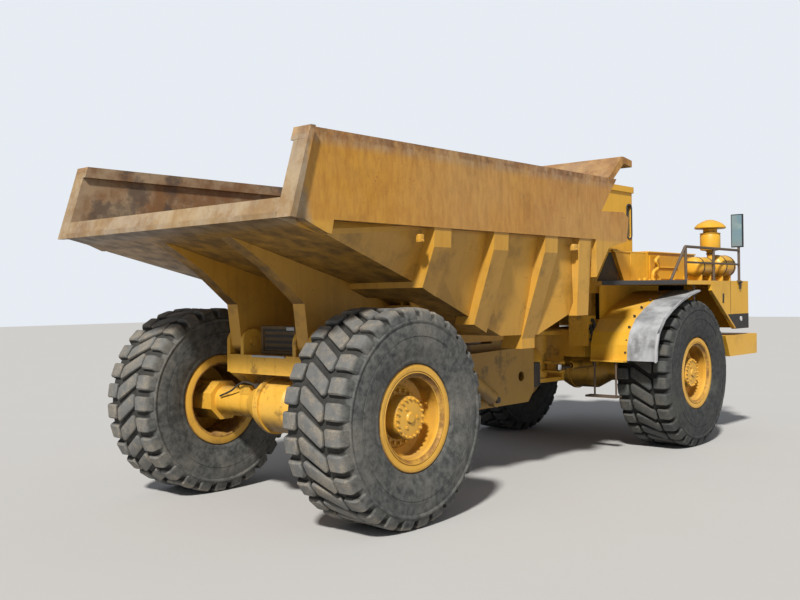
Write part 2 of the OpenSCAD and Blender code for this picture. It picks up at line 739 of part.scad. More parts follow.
// Decks with the front wings and lockers
fender_low_z = 1700;
module deck(side) {
  t = 60;
  plan = [[5300, 860], [5080, 1090], [6120, deck_half_w], [nose_x - 350, deck_half_w],
          [nose_x - 350, hood_half_w + 5], [nose_x - 375, hood_half_w + 5], [nose_x - 375, hood_half_w - 60],
          [hood_x0 - 20, hood_half_w - 60], [hood_x0 - 20, 860]];
  color(yellow_paint) place() on_side(side) {
    flat_plate(plan, deck_z - t, deck_z);
    side_plate([[6980, deck_z - 5], [6980, 2320], [7870, fender_low_z], [nose_x - 350, fender_low_z],
                [nose_x - 350, deck_z - 5]], deck_half_w - 50, deck_half_w);
    box([nose_x - 400, hood_half_w + 5, fender_low_z], [nose_x - 350, deck_half_w, deck_z - 5]);
    if (side == right) locker();
    box([5700, tractor_rail_out - 60, tractor_rail_top + seat_gap], [5900, 900 - seat_gap, 1900]);
    box([5700, 860, tractor_rail_top + seat_gap], [5900, 900 - seat_gap, deck_z - t + 5]);
    box([7700, tractor_rail_out - 60, tractor_rail_top + seat_gap], [7900, 1200, 1900]);
    box([7700, 1125, 1800], [7900, 1200, deck_z - t + 5]);
  }
}

// Locker beside the cab: its rear slants up to the top, with a sunk three-cornered pocket behind the door
module locker() {
  top = hood_top_z - 20;
  foot = deck_z - 5;
  inner = 870;
  end_x = hood_x0 - 20;
  sunk = 60;
  side_plate([[5175, foot], [5560, top], [end_x, top], [end_x, foot]], inner, hood_half_w - sunk);
  side_plate([[5920, foot], [5630, top], [end_x, top], [end_x, foot]], inner, hood_half_w);
}

// Wheel arch behind the front wheel, from the step up to the deck
arch = [[5060, 1340], [5080, 1560], [5150, 1740], [5330, 1920], [5570, 2050], [5900, 2180],
        [6200, 2270], [6500, 2330]];
module arch_sheet(t, y0, y1) {
  side_plate(concat(arch, [for (i = [len(arch) - 1:-1:0]) arch[i] + [t, -t * i / len(arch)]]), y0, y1);
}

// Where the steel part of the arch ends and the rubber flap starts
guard_split = 1480;
module mudguards() {
  liner_x = 5335;
  liner_end = 7200;
  liner_y = 900;
  liner_t = 22;
  under_deck = deck_z - 60 - seat_gap;
  color(yellow_paint) place() both_sides() {
    arch_sheet(20, liner_y, guard_split);
    side_plate([[liner_x, 1930], [5560, 2030], [5900, 2175], [6200, 2265], [liner_end, 2265],
                [liner_end, under_deck], [liner_x, under_deck]], liner_y, liner_y + liner_t);
    box([4950, 960, 1322], [5066, guard_split, 1345]);
  }
}

module rubber_flaps() {
  color("#55544f") place() both_sides() arch_sheet(26, guard_split + seat_gap, 1935);
}

module steps() {
  color(dark_steel) place() both_sides() {
    box([4950, 870, 810], [5110, 1365, 838]);
    for (y = [1000, 1340]) bar([5000, y, 820], [5000, y, 1322 - seat_gap], 14);
  }
}

// Cab
cab_floor_z = 2300;
cab_len = cab_front_x - cab_back_x;
cab_mid_x = (cab_front_x + cab_back_x) / 2;
roof_t = 90;
door_x = [5760, 6440];
door_z = [deck_z + 30, cab_top_z - 180];
door_hinge = [door_x[1] + 10, cab_half_w + 28];
door_pin_r = 14;
knuckle_h = 70;
knuckles = [2700, cab_top_z - 360];
door_gap = 6;
sill_z = 3060;
// A window from its middle, width, lower and upper edge: its middle, size and corner
function window(middle, width, low, high, r) = [[middle, (low + high) / 2], [width, high - low], r];
screen = window(0, 1360, sill_z, cab_top_z - 210, 70);
back_window = window(0, 1200, sill_z, cab_top_z - 260, 70);
side_window = window(6475, 150, sill_z + 90, cab_top_z - 280, 60);
door_window = window((door_x[0] + door_x[1]) / 2, 520, sill_z + 30, cab_top_z - 250, 70);

// The whole cab below the roof, cut into its panels by the modules that follow
module cab_shell() {
  height = cab_top_z - roof_t - cab_floor_z - seat_gap;
  difference() {
    translate([cab_mid_x, 0, cab_floor_z]) linear_extrude(height = height)
      round_rect([cab_len, 2 * cab_half_w], 90);
    translate([cab_mid_x, 0, cab_floor_z + cab_wall]) linear_extrude(height = height)
      round_rect([cab_len - 2 * cab_wall, 2 * (cab_half_w - cab_wall)], 50);
    window_x(cab_front_x - 100, cab_front_x + 10, screen[0], screen[1], screen[2]);
    window_x(cab_back_x - 10, cab_back_x + 100, back_window[0], back_window[1], back_window[2]);
    window_y(-cab_half_w - 10, -cab_half_w + 100, side_window[0], side_window[1], side_window[2]);
    box([door_x[0], cab_half_w - 100, door_z[0]], [door_x[1], cab_half_w + 10, door_z[1]]);
  }
}

// The part of the cab's shell from x0 to x1 and y0 to y1 above the floor pan
module cab_panel(x0, x1, y0, y1) {
  intersection() {
    cab_shell();
    box([x0, y0, cab_floor_z + cab_wall + seat_gap], [x1, y1, cab_top_z]);
  }
}

cab_corner = 70;
module cab_floor() {
  color(yellow_paint) place() intersection() {
    cab_shell();
    box([cab_back_x, -cab_half_w, cab_floor_z], [cab_front_x, cab_half_w, cab_floor_z + cab_wall]);
  }
}

module cab_back() {
  color(yellow_paint) place() cab_panel(cab_back_x, cab_back_x + cab_corner, -cab_half_w, cab_half_w);
}

module cab_front() {
  color(yellow_paint) place() cab_panel(cab_front_x - cab_corner, cab_front_x, -cab_half_w, cab_half_w);
}

module cab_right() {
  color(yellow_paint) place() cab_panel(cab_back_x + cab_corner + seat_gap,
                                        cab_front_x - cab_corner - seat_gap, -cab_half_w, -seat_gap);
}

module cab_left() {
  color(yellow_paint) place() {
    cab_panel(cab_back_x + cab_corner + seat_gap, cab_front_x - cab_corner - seat_gap, seat_gap, cab_half_w);
    for (z = knuckles) {
      translate([door_hinge.x, door_hinge.y, z - 20]) cylinder(r = door_pin_r, h = knuckle_h + 40);
      for (low = [z - 20, z + knuckle_h + 3])
        box([door_hinge.x - 12, cab_half_w - 1, low], [door_hinge.x + 22, door_hinge.y + 18, low + 17]);
    }
  }
}

module cab_roof() {
  over = 25;
  color(yellow_paint) place() translate([cab_mid_x + over / 2, 0, cab_top_z - roof_t])
    linear_extrude(height = roof_t) round_rect([cab_len + over, 2 * cab_half_w + 2 * over], 100);
}

module pane_x(x, window) {
  window_x(x, x + 12, window[0], window[1] - [2 * seat_gap, 2 * seat_gap], window[2]);
}

module cab_glass() {
  side_y = -cab_half_w + cab_wall / 2;
  color("lightblue", 0.4) place() {
    pane_x(cab_front_x - cab_wall / 2, screen);
    pane_x(cab_back_x + cab_wall / 2, back_window);
    window_y(side_y, side_y + 12, side_window[0], side_window[1] - [2 * seat_gap, 2 * seat_gap],
             side_window[2]);
  }
}

module cab_door() {
  face = cab_half_w - 2;
  color(yellow_paint) place() difference() {
    union() {
      box([door_x[0] + door_gap, cab_half_w - cab_wall, door_z[0] + door_gap],
          [door_x[1] - door_gap, face, door_z[1] - door_gap]);
      for (z = knuckles) {
        translate([door_hinge.x, door_hinge.y, z]) cylinder(r = 22, h = knuckle_h);
        box([door_hinge.x - 110, face - 2, z], [door_hinge.x - 16, door_hinge.y - 2, z + knuckle_h]);
      }
      for (x = [door_x[0] + 70, door_x[0] + 190])
        box([x, face - 2, 3000], [x + 15, face + 45, 3020]);
      box([door_x[0] + 70, face + 40, 2995], [door_x[0] + 205, face + 55, 3025]);
    }
    window_y(cab_half_w - 100, cab_half_w + 10, door_window[0], door_window[1], door_window[2]);
    for (z = knuckles)
      translate([door_hinge.x, door_hinge.y, z - 1]) cylinder(r = door_pin_r + pin_gap, h = knuckle_h + 2);
  }
}

module door_glass() {
  y = cab_half_w - cab_wall / 2;
  color("lightblue", 0.4) place()
    window_y(y - 6, y + 6, door_window[0], door_window[1] - [2 * seat_gap, 2 * seat_gap], door_window[2]);
}

module cab_interior() {
  floor_z = cab_floor_z + 60 + seat_gap;
  color(dark_steel) place() {
    box([5760, -180, floor_z], [6060, 180, floor_z + 260]);
    box([5680, -250, floor_z + 250], [6180, 250, floor_z + 370]);
    side_plate([[5680, floor_z + 300], [5600, floor_z + 1020], [5680, floor_z + 1040],
                [5780, floor_z + 340]], -240, 240);
    box([6400, -600, floor_z], [6570, 600, floor_z + 640]);
    bar([6420, 0, floor_z + 600], [6300, 0, floor_z + 720], 30);
    translate([6300, 0, floor_z + 720]) rotate([0, -40, 0]) {
      rotate_extrude($fn = 24) translate([195, 0]) circle(r = 17, $fn = 16);
      translate([0, 0, -20]) cylinder(r = 45, h = 40, $fn = 24);
      for (turn = [60:120:300]) rotate([0, 0, turn]) bar([0, 0, 0], [195, 0, 0], 12);
    }
  }
}

// Two lying drums with an upright pipe, bowl and rain cap between them
module air_cleaner() {
  y = -(deck_half_w - 310);
  // Drums: rear end, front end, radius
  drums = [[6990, 7570, 160], [7790, 8340, 185]];
  pipe_x = 7690;
  // The upright's sections: height from, height to, radius below, radius above
  upright = [[2600, 2960, 56, 56], [2950, 2975, 56, 158], [2974, 3230, 160, 160],
             [3229, 3310, 110, 110], [3309, 3350, 235, 245], [3349, 3440, 245, 120],
             [3439, 3470, 120, 40]];
  color(yellow_paint) place() {
    for (drum = drums) {
      middle_z = deck_z + 60 + drum[2];
      bar([drum[0], y, middle_z], [drum[1], y, middle_z], drum[2]);
      bar([drum[0] - 35, y, middle_z], [drum[1] + 35, y, middle_z], drum[2] - 45);
      for (x = [drum[0] + 80, drum[1] - 120])
        box([x, y - 110, deck_z + seat_gap], [x + 40, y + 110, deck_z + 150]);
    }
    bar([drums[0][1], y, deck_z + 225], [drums[1][0], y, deck_z + 225], 60);
    for (part = upright) translate([pipe_x, y, part[0]])
      cylinder(r1 = part[2], r2 = part[3], h = part[1] - part[0]);
  }
}

module handrails() {
  y = deck_half_w - 50;
  r = 21;
  top = hood_top_z + 20;
  // Uprights along the deck's outer edge
  posts = [6200, 7200, 8200];
  foot_z = deck_z + seat_gap;
  leg_foot = [5950, y - 115, foot_z];
  pad_r = 38;
  pad_t = 12;
  color(yellow_paint) place() both_sides() {
    for (x = posts) {
      bar([x, y, foot_z], [x, y, top], r);
      bar([x, y, foot_z], [x, y, foot_z + pad_t], pad_r);
    }
    bar(leg_foot + [0, 0, pad_t], [posts[0] - 10, y, top], r);
    bar(leg_foot, leg_foot + [0, 0, pad_t + 4], pad_r - 12);
    bar([posts[0], y, top], [posts[2], y, top], r);
    bar([posts[0], y, deck_z + 270], [posts[2], y, deck_z + 270], r - 5);
    bar([posts[2], y, top - 10], [posts[2], y, top + 570], r);
    box([posts[2] - 20, y - 60, top + 130], [posts[2] + 15, y + 70, top + 490]);
  }
}

tractor_frame();
pivot_bracket();
steer_pins();
valve_box();
front_bumper();
front_axle();
engine();
hood();
grille();
lamps();
deck(right);  // deck_right
deck(left);  // deck_left
mudguards();
rubber_flaps();
steps();
cab_floor();
cab_back();
cab_front();
cab_right();
cab_left();
cab_roof();
cab_glass();
cab_interior();
cab_door();
door_glass();
air_cleaner();
handrails();
steer_barrel(right);  // steer_barrel_right
steer_barrel(left);  // steer_barrel_left
steer_rod(right);  // steer_rod_right
steer_rod(left);  // steer_rod_left
hitch();
rear_frame();
frame_panels();
hoist_pins();
accumulators();
rear_axle();
drive_shaft();
bed_floor();
bed_side(right);  // bed_side_right
bed_side(left);  // bed_side_left
bed_front();
bed_ribs();
bed_bearers();
hoist_barrel(right);  // hoist_barrel_right
hoist_barrel(left);  // hoist_barrel_left
hoist_rod(right);  // hoist_rod_right
hoist_rod(left);  // hoist_rod_left
rim(rear_x, right);  // rim_rear_right
rim(rear_x, left);  // rim_rear_left
rim(front_x, right);  // rim_front_right
rim(front_x, left);  // rim_front_left
tyre(rear_x, right);  // tyre_rear_right
tyre(rear_x, left);  // tyre_rear_left
tyre(front_x, right);  // tyre_front_right
tyre(front_x, left);  // tyre_front_left
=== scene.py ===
import math

import bmesh
import bpy
from mathutils import Matrix, Vector


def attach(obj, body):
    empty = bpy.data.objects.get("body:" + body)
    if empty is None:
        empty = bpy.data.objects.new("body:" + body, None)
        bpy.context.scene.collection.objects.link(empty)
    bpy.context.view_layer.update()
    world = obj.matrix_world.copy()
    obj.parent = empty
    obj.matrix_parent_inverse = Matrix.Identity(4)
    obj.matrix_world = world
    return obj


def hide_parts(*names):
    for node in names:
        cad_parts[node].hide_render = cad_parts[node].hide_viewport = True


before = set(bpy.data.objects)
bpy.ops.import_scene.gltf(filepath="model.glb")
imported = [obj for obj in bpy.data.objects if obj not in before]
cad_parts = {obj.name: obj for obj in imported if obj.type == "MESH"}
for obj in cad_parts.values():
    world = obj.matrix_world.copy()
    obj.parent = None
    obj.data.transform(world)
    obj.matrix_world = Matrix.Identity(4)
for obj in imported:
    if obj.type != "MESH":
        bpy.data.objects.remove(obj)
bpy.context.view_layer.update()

scene = bpy.context.scene
scene.view_settings.view_transform = "Standard"

REAR_AXLE_X = -3.58
FRONT_AXLE_X = 2.88
AXLE_Z = 1.09
WHEEL_Y = 1.515


# Camera, as fitted to the photograph
PHOTO_WIDTH = 800
FOCAL_PIXELS = 940.72
SENSOR = 36
CAMERA_PLACE = (-10.558, -7.856, 2.269)
YAW_PITCH_ROLL = (41.42, -0.13, -0.77)


def set_camera():
    yaw, pitch, roll = (math.radians(angle) for angle in YAW_PITCH_ROLL)
    ahead = Vector((math.cos(yaw) * math.cos(pitch), math.sin(yaw) * math.cos(pitch),
                    math.sin(pitch)))
    side = Vector((math.sin(yaw), -math.cos(yaw), 0))
    up = side.cross(ahead)
    across = side * math.cos(roll) + up * math.sin(roll)
    upward = up * math.cos(roll) - side * math.sin(roll)
    data = bpy.data.cameras.new("camera")
    data.lens = FOCAL_PIXELS / PHOTO_WIDTH * SENSOR
    data.sensor_width = SENSOR
    data.clip_start, data.clip_end = 0.1, 200
    camera = bpy.data.objects.new("camera", data)
    scene.collection.objects.link(camera)
    turn = Matrix((across, upward, -ahead)).transposed().to_4x4()
    camera.matrix_world = Matrix.Translation(CAMERA_PLACE) @ turn
    scene.camera = camera


set_camera()


# Shader maths
class Value:
    """One output of a node, with sums that add more nodes."""

    def __init__(self, paint, socket):
        self.paint, self.socket = paint, socket

    def _math(self, operation, *others, clamp=False):
        made = self.paint.node("ShaderNodeMath", {"operation": operation, "use_clamp": clamp},
                               dict(enumerate((self, *others))))
        return made["Value"]

    def __add__(self, other): return self._math("ADD", other)
    def __radd__(self, other): return self._math("ADD", other)
    def __sub__(self, other): return self._math("SUBTRACT", other)
    def __rsub__(self, other): return -self + other
    def __mul__(self, other): return self._math("MULTIPLY", other)
    def __pow__(self, other): return self._math("POWER", other)
    def __neg__(self): return self._math("MULTIPLY", -1.0)
    def __abs__(self): return self._math("ABSOLUTE")
    def sign(self): return self._math("SIGN")
    def most(self, other): return self._math("MAXIMUM", other)
    def clamp(self): return self._math("ADD", 0.0, clamp=True)

    def step(self, low, high):
        """0 below low, 1 above high and a soft rise between them."""
        made = self.paint.node("ShaderNodeMapRange", {"interpolation_type": "SMOOTHSTEP"},
                               {"Value": self, "From Min": low, "From Max": high})
        return made["Result"]


class Made:
    """A node, whose outputs are read by name."""

    def __init__(self, paint, node):
        self.paint, self.raw = paint, node

    def __getitem__(self, name):
        return Value(self.paint, self.raw.outputs[name])


class Paint:
    """A material's node tree, with the object coordinates ready to use."""

    def __init__(self, name):
        self.material = bpy.data.materials.new(name)
        self.material.use_nodes = True
        self.tree = self.material.node_tree
        self.tree.nodes.clear()
        place = self.node("ShaderNodeTexCoord")
        self.where = place["Object"]
        self.x, self.y, self.z = self.parts(self.where)
        self.nx, self.ny, self.nz = self.parts(place["Normal"])

    def node(self, kind, settings=None, inputs=None):
        made = self.tree.nodes.new(kind)
        for name, setting in (settings or {}).items():
            setattr(made, name, setting)
        for name, given in (inputs or {}).items():
            if isinstance(given, Value):
                self.tree.links.new(given.socket, made.inputs[name])
            else:
                made.inputs[name].default_value = given
        return Made(self, made)

    def parts(self, vector):
        made = self.node("ShaderNodeSeparateXYZ", {}, {"Vector": vector})
        return made["X"], made["Y"], made["Z"]

    def stretched(self, scale):
        """The place in the truck, with each axis scaled, for marks that run one way."""
        return self.node("ShaderNodeMapping", {}, {"Vector": self.where, "Scale": scale})["Vector"]

    def noise(self, scale, detail=4.0, rough=0.55, where=None):
        return self.node("ShaderNodeTexNoise", {}, {
            "Vector": where or self.where, "Scale": scale, "Detail": detail,
            "Roughness": rough})["Fac"]

    def from_axle(self):
        """How far a point is from its wheel's axis, for the front and the rear wheels alike."""
        along = abs(self.x - (REAR_AXLE_X + FRONT_AXLE_X) / 2) - (FRONT_AXLE_X - REAR_AXLE_X) / 2
        up = self.z - AXLE_Z
        return (along * along + up * up) ** 0.5

    def mix(self, first, second, mask, blend="MIX"):
        """Two colours, mixed by a mask.

        Of the mix node, the colours are the inputs 6 and 7 and the output 2.
        """
        first, second = ((*c, 1.0) if isinstance(c, tuple) else c for c in (first, second))
        made = self.node("ShaderNodeMix", {"data_type": "RGBA", "blend_type": blend},
                         {0: mask, 6: first, 7: second})
        return Value(self, made.raw.outputs[2])

    def bump(self, height, depth):
        inputs = {"Height": height, "Distance": depth, "Strength": 1.0}
        return self.node("ShaderNodeBump", {}, inputs)["Normal"]

    def surface(self, **given):
        names = {"colour": "Base Color", "rough": "Roughness", "metal": "Metallic",
                 "coat": "Coat Weight", "alpha": "Alpha", "normal": "Normal",
                 "specular": "Specular IOR Level"}
        inputs = {names[name]: setting for name, setting in given.items()}
        shader = self.node("ShaderNodeBsdfPrincipled", {}, inputs)
        self.node("ShaderNodeOutputMaterial", {}, {"Surface": shader["BSDF"]})
        return self.material


RUST_DARK = (0.075, 0.030, 0.014)
RUST = (0.20, 0.075, 0.025)
DUST = (0.42, 0.34, 0.24)
GRIME = (0.055, 0.032, 0.012)
# Near-black brown laid on faces that look down: painted shade.
UNDERSIDE_SHADE = (0.045, 0.020, 0.002)
# Heights of the lower and the upper edge of the bed's sideboards
BOARD_LOW_Z = 2.96
BOARD_TOP_Z = 3.73


def worn_metal(paint, base, pale, edge=0.0, wear=1.0, gloss=0.45):
    """Sun-faded paint: large fading, streaks that run down, specks and scratches of rust,
    dust on what faces up, grime, painted shade on the undersides and a fine bump."""
    fade = paint.noise(0.7, 3.0).step(0.35, 0.7)
    mottle = paint.noise(5.0, 5.0, 0.6).step(0.30, 0.72)
    streaks = paint.noise(1.0, 5.0, 0.6, paint.stretched((9, 9, 0.7)))
    colour = paint.mix(base, pale, fade * 0.50 + mottle * 0.25)
    colour = paint.mix(colour, (0.70, 0.66, 0.60), (streaks.step(0.5, 0.75) * 0.55 * wear).clamp(),
                       "MULTIPLY")
    specks = paint.noise(38.0, 4.0, 0.7).step(0.62, 0.70) * paint.noise(2.2, 3.0).step(0.42, 0.62)
    scrape = paint.noise(1.0, 6.0, 0.65, paint.stretched((2.2, 14, 17))).step(0.66, 0.73)
    rust = (specks * 0.8 * wear).most(scrape * 0.40 * wear).most(edge).clamp()
    tone = paint.mix(RUST, RUST_DARK, paint.noise(9.0, 5.0, 0.65).step(0.4, 0.65))
    colour = paint.mix(colour, tone, rust)
    dusty = paint.nz.step(0.55, 0.95) * paint.noise(3.0, 5.0).step(0.3, 0.75)
    colour = paint.mix(colour, DUST, dusty * 0.22)
    grime = paint.noise(1.7, 6.0, 0.7).step(0.50, 0.66) * (-paint.nz).step(-0.35, 0.5)
    colour = paint.mix(colour, GRIME, grime * 0.50 * wear)
    # Painted shade: faces that look down are darkened towards near-black brown.
    below = (-paint.nz).step(0.15, 0.7) * (0.6 + mottle * 0.4)
    colour = paint.mix(colour, UNDERSIDE_SHADE, below * 0.92)
    rough = (gloss + rust * 0.35 + dusty * 0.2 + mottle * 0.12).clamp()
    normal = paint.bump(paint.noise(26.0, 5.0, 0.6) * (0.35 + rust), 0.004)
    return {"colour": colour, "rough": rough, "normal": normal}


def bed_outside(name):
    """The bed's marks outside and the worn colour of its inside.

    Golden low down, tan and orange boards, pale steel on the tail, brown top edges.
    """
    paint = Paint(name)
    grain = paint.noise(1.0, 6.0, 0.7, paint.stretched((16, 16, 5))).step(0.34, 0.66)
    tan = paint.mix((0.50, 0.250, 0.066), (0.41, 0.190, 0.045), grain)
    orange = paint.mix((0.56, 0.270, 0.022), (0.46, 0.200, 0.018), grain)
    patch = paint.noise(0.8, 5.0, 0.6).step(0.40, 0.62)
    board = paint.mix(tan, orange, ((-paint.x).step(2.4, 4.3) * 0.85).most(patch * 0.35))
    band = paint.z.step(BOARD_TOP_Z - 0.13, BOARD_TOP_Z - 0.03)
    band = band * (0.5 + paint.noise(3.0, 6.0, 0.7).step(0.35, 0.6) * 0.5)
    band = band * (1.0 - paint.x.step(0.2, 0.6) * 0.85)
    board = paint.mix(board, paint.mix((0.40, 0.27, 0.165), (0.24, 0.115, 0.055), grain),
                      band * 0.85)
    wave = paint.noise(1.6, 6.0, 0.65) - 0.5
    tail = (-paint.x + wave * 0.5).step(4.90, 5.02)
    bare = paint.mix((0.32, 0.28, 0.225), (0.19, 0.130, 0.085),
                     paint.noise(3.0, 6.0, 0.72).step(0.38, 0.64))
    base = paint.mix((0.58, 0.300, 0.034), board,
                     paint.z.step(BOARD_LOW_Z - 0.03, BOARD_LOW_Z + 0.03))
    base = paint.mix(base, bare, tail * paint.z.step(BOARD_LOW_Z - 0.10, BOARD_LOW_Z) * 0.85)
    top = paint.z.step(BOARD_TOP_Z - 0.04, BOARD_TOP_Z)
    top = top * paint.noise(3.2, 6.0, 0.7).step(0.40, 0.60)
    look = worn_metal(paint, base, paint.mix(base, (0.62, 0.42, 0.14), 0.35), (top * 0.6).clamp(),
                      0.9)
    inner = paint.noise(1.5, 6.0, 0.66).step(0.40, 0.60)
    inside = paint.mix((0.38, 0.280, 0.180), (0.22, 0.115, 0.055), inner)
    inside = paint.mix(inside, (0.065, 0.060, 0.062),
                       paint.noise(1.1, 6.0, 0.7).step(0.52, 0.62) * 0.75)
    inside = paint.mix(inside, (0.42, 0.33, 0.22),
                       paint.noise(3.1, 6.0, 0.7).step(0.52, 0.70) * 0.5)
    return paint, look, inside


def bed_side_paint():
    paint, look, inside = bed_outside("bed_side_paint")
    ledge = paint.nz.step(0.5, 0.8) * (1.0 - paint.z.step(BOARD_TOP_Z - 0.23, BOARD_TOP_Z - 0.13))
    inward = (-paint.ny * paint.y.sign()).step(0.2, 0.5).most(ledge)
    look["colour"] = paint.mix(look["colour"], inside, inward * 0.94)
    return paint.surface(**look)


def bed_floor_paint():
    paint, look, inside = bed_outside("bed_floor_paint")
    look["colour"] = paint.mix(look["colour"], inside, paint.nz.step(0.3, 0.6) * 0.85)
    return paint.surface(**look)


def bed_front_paint():
    paint, look, inside = bed_outside("bed_front_paint")
    look["colour"] = paint.mix(look["colour"], inside, (-paint.nx).step(0.2, 0.5) * 0.5)
    return paint.surface(**look)


def bed_rib_paint():
    paint, look, _ = bed_outside("bed_rib_paint")
    return paint.surface(**look)


def tractor_paint():
    paint = Paint("tractor_paint")
    look = worn_metal(paint, (0.72, 0.385, 0.022), (0.78, 0.46, 0.070), wear=0.7, gloss=0.34)
    return paint.surface(**look)


def rear_frame_paint():
    paint = Paint("rear_frame_paint")
    look = worn_metal(paint, (0.68, 0.36, 0.030), (0.74, 0.43, 0.070), gloss=0.42)
    oil = paint.noise(2.6, 6.0, 0.65).step(0.55, 0.68)
    look["colour"] = paint.mix(look["colour"], (0.05, 0.035, 0.02), oil * 0.7)
    # Painted shadow of the bed: the frame's middle, from x -3.0 to 0.8, is darkened to brown.
    middle = (paint.x + 3.0).step(0.0, 0.4) * (1.0 - (paint.x - 0.8).step(0.0, 0.4))
    look["colour"] = paint.mix(look["colour"], (0.16, 0.095, 0.020), middle * (0.62 + oil * 0.2))
    return paint.surface(**look)


def rim_paint():
    paint = Paint("rim_paint")
    out = paint.from_axle()
    lip = out.step(0.512, 0.528).most(out.step(0.402, 0.410) * (1.0 - out.step(0.440, 0.448)))
    ring = lip * (0.35 + paint.noise(7.0, 5.0, 0.7).step(0.35, 0.6) * 0.65)
    look = worn_metal(paint, (0.68, 0.36, 0.035), (0.74, 0.45, 0.10), (ring * 0.8).clamp(),
                      gloss=0.4)
    return paint.surface(**look)


def tyre_paint():
    """Dusty rubber: lug tops paler from wear and a painted highlight, painted shade in the grooves
    and on the front wheels.
    """
    paint = Paint("tyre_rubber")
    worn = paint.noise(14.0, 6.0, 0.65)
    dust = paint.noise(2.4, 5.0, 0.6).step(0.40, 0.68)
    fine = paint.noise(60.0, 3.0, 0.6).step(0.45, 0.65)
    colour = paint.mix((0.026, 0.030, 0.031), (0.118, 0.120, 0.114), worn.step(0.28, 0.72))
    out = paint.from_axle()
    tread = out.step(1.030, 1.070)
    across = abs(abs(paint.y) - WHEEL_Y)
    # Painted shade: the tread's floor between the lugs is darkened.
    groove_shade = out.step(0.985, 1.010) * (1.0 - out.step(1.040, 1.068))
    groove_shade = groove_shade * (1.0 - across.step(0.36, 0.39))
    scuff = paint.noise(5.0, 6.0, 0.72).step(0.42, 0.62)
    colour = paint.mix(colour, (0.22, 0.205, 0.175), (dust * 0.32 + fine * dust * 0.25).clamp())
    # Lug tops paler grey: partly wear, partly a painted highlight.
    colour = paint.mix(colour, (0.175, 0.178, 0.175), tread * 0.55)
    colour = paint.mix(colour, (0.33, 0.27, 0.19), (tread * scuff * (0.25 + fine * 0.45)).clamp())
    colour = paint.mix(colour, (0.016, 0.015, 0.013), groove_shade * 0.75)
    # Painted shade: the front wheels are darkened.
    colour = paint.mix(colour, (0.36, 0.39, 0.41), paint.x.step(0.0, 1.0) * 0.90, "MULTIPLY")
    normal = paint.bump(paint.noise(45.0, 5.0, 0.6), 0.003)
    return paint.surface(colour=colour, rough=(0.78 + dust * 0.15).clamp(), normal=normal)


def flap_paint():
    paint = Paint("flap_rubber")
    streak = paint.noise(1.0, 6.0, 0.6, paint.stretched((5, 3, 1.2)))
    colour = paint.mix((0.20, 0.21, 0.225), (0.44, 0.46, 0.48), streak.step(0.3, 0.7))
    colour = paint.mix(colour, (0.10, 0.10, 0.10), paint.noise(3.0, 5.0).step(0.55, 0.7) * 0.7)
    return paint.surface(colour=colour, rough=0.7, normal=paint.bump(paint.noise(20.0, 5.0), 0.004))


def dark_paint(name, low, high, rough=0.6):
    paint = Paint(name)
    colour = paint.mix(low, high, paint.noise(8.0, 6.0, 0.65))
    colour = paint.mix(colour, RUST, paint.noise(6.0, 5.0, 0.7).step(0.58, 0.7) * 0.5)
    return paint.surface(colour=colour, rough=(rough + paint.noise(20.0) * 0.2).clamp(),
                         normal=paint.bump(paint.noise(40.0), 0.002))


def rod_paint():
    paint = Paint("polished_rod")
    smear = paint.noise(12.0, 4.0).step(0.4, 0.7)
    return paint.surface(colour=paint.mix((0.62, 0.62, 0.63), (0.40, 0.37, 0.33), smear), metal=1.0,
                         rough=(0.12 + smear * 0.2).clamp())


def window_paint():
    paint = Paint("window_glass")
    dirt = paint.noise(3.0, 5.0).step(0.5, 0.8)
    return paint.surface(colour=paint.mix((0.10, 0.13, 0.13), (0.30, 0.28, 0.24), dirt * 0.4),
                         rough=(0.04 + dirt * 0.2).clamp(), alpha=(0.45 + dirt * 0.3).clamp(),
                         specular=0.8)


def mirror_paint():
    paint = Paint("mirror_glass")
    film = paint.noise(4.0, 4.0).step(0.4, 0.8)
    return paint.surface(colour=paint.mix((0.26, 0.42, 0.52), (0.30, 0.38, 0.42), film), metal=0.35,
                         rough=(0.05 + film * 0.15).clamp())


def lamp_paint():
    paint = Paint("lamp_glass")
    ribs = paint.node("ShaderNodeTexWave", {"wave_type": "BANDS", "bands_direction": "Y"},
                      {"Vector": paint.where, "Scale": 30.0})["Fac"]
    colour = paint.mix((0.75, 0.76, 0.75), (0.55, 0.56, 0.55), paint.noise(6.0))
    return paint.surface(colour=colour, rough=0.12, coat=1.0, normal=paint.bump(ribs, 0.003))


BED_SIDE = bed_side_paint()
BED_FLOOR = bed_floor_paint()
BED_FRONT = bed_front_paint()
BED_RIB = bed_rib_paint()
TRACTOR = tractor_paint()
CHASSIS = rear_frame_paint()
RIM = rim_paint()
TYRE = tyre_paint()
FLAP = flap_paint()
STEEL = dark_paint("dark_steel", (0.02, 0.02, 0.02), (0.07, 0.06, 0.05))
BLACK = dark_paint("black_paint", (0.012, 0.012, 0.013), (0.04, 0.038, 0.035), 0.5)
RAIL = dark_paint("rail_paint", (0.07, 0.05, 0.035), (0.14, 0.10, 0.07), 0.55)
VINYL = dark_paint("cab_vinyl", (0.02, 0.02, 0.022), (0.05, 0.05, 0.05), 0.55)
ROD = rod_paint()
RUBBER = dark_paint("edge_rubber", (0.018, 0.018, 0.019), (0.055, 0.055, 0.057))
# Dark brown for the rear slotted plate: painted shade.
SHADED_PLATE = dark_paint("plate_painted_shade", (0.05, 0.034, 0.014), (0.16, 0.095, 0.03), 0.5)
DUCT = dark_paint("duct_rubber", (0.012, 0.012, 0.012), (0.035, 0.034, 0.033), 0.45)
PALE_EDGE = dark_paint("pale_edge", (0.30, 0.31, 0.33), (0.52, 0.53, 0.55), 0.5)
MIRROR = mirror_paint()
WINDOW = window_paint()
LAMP = lamp_paint()

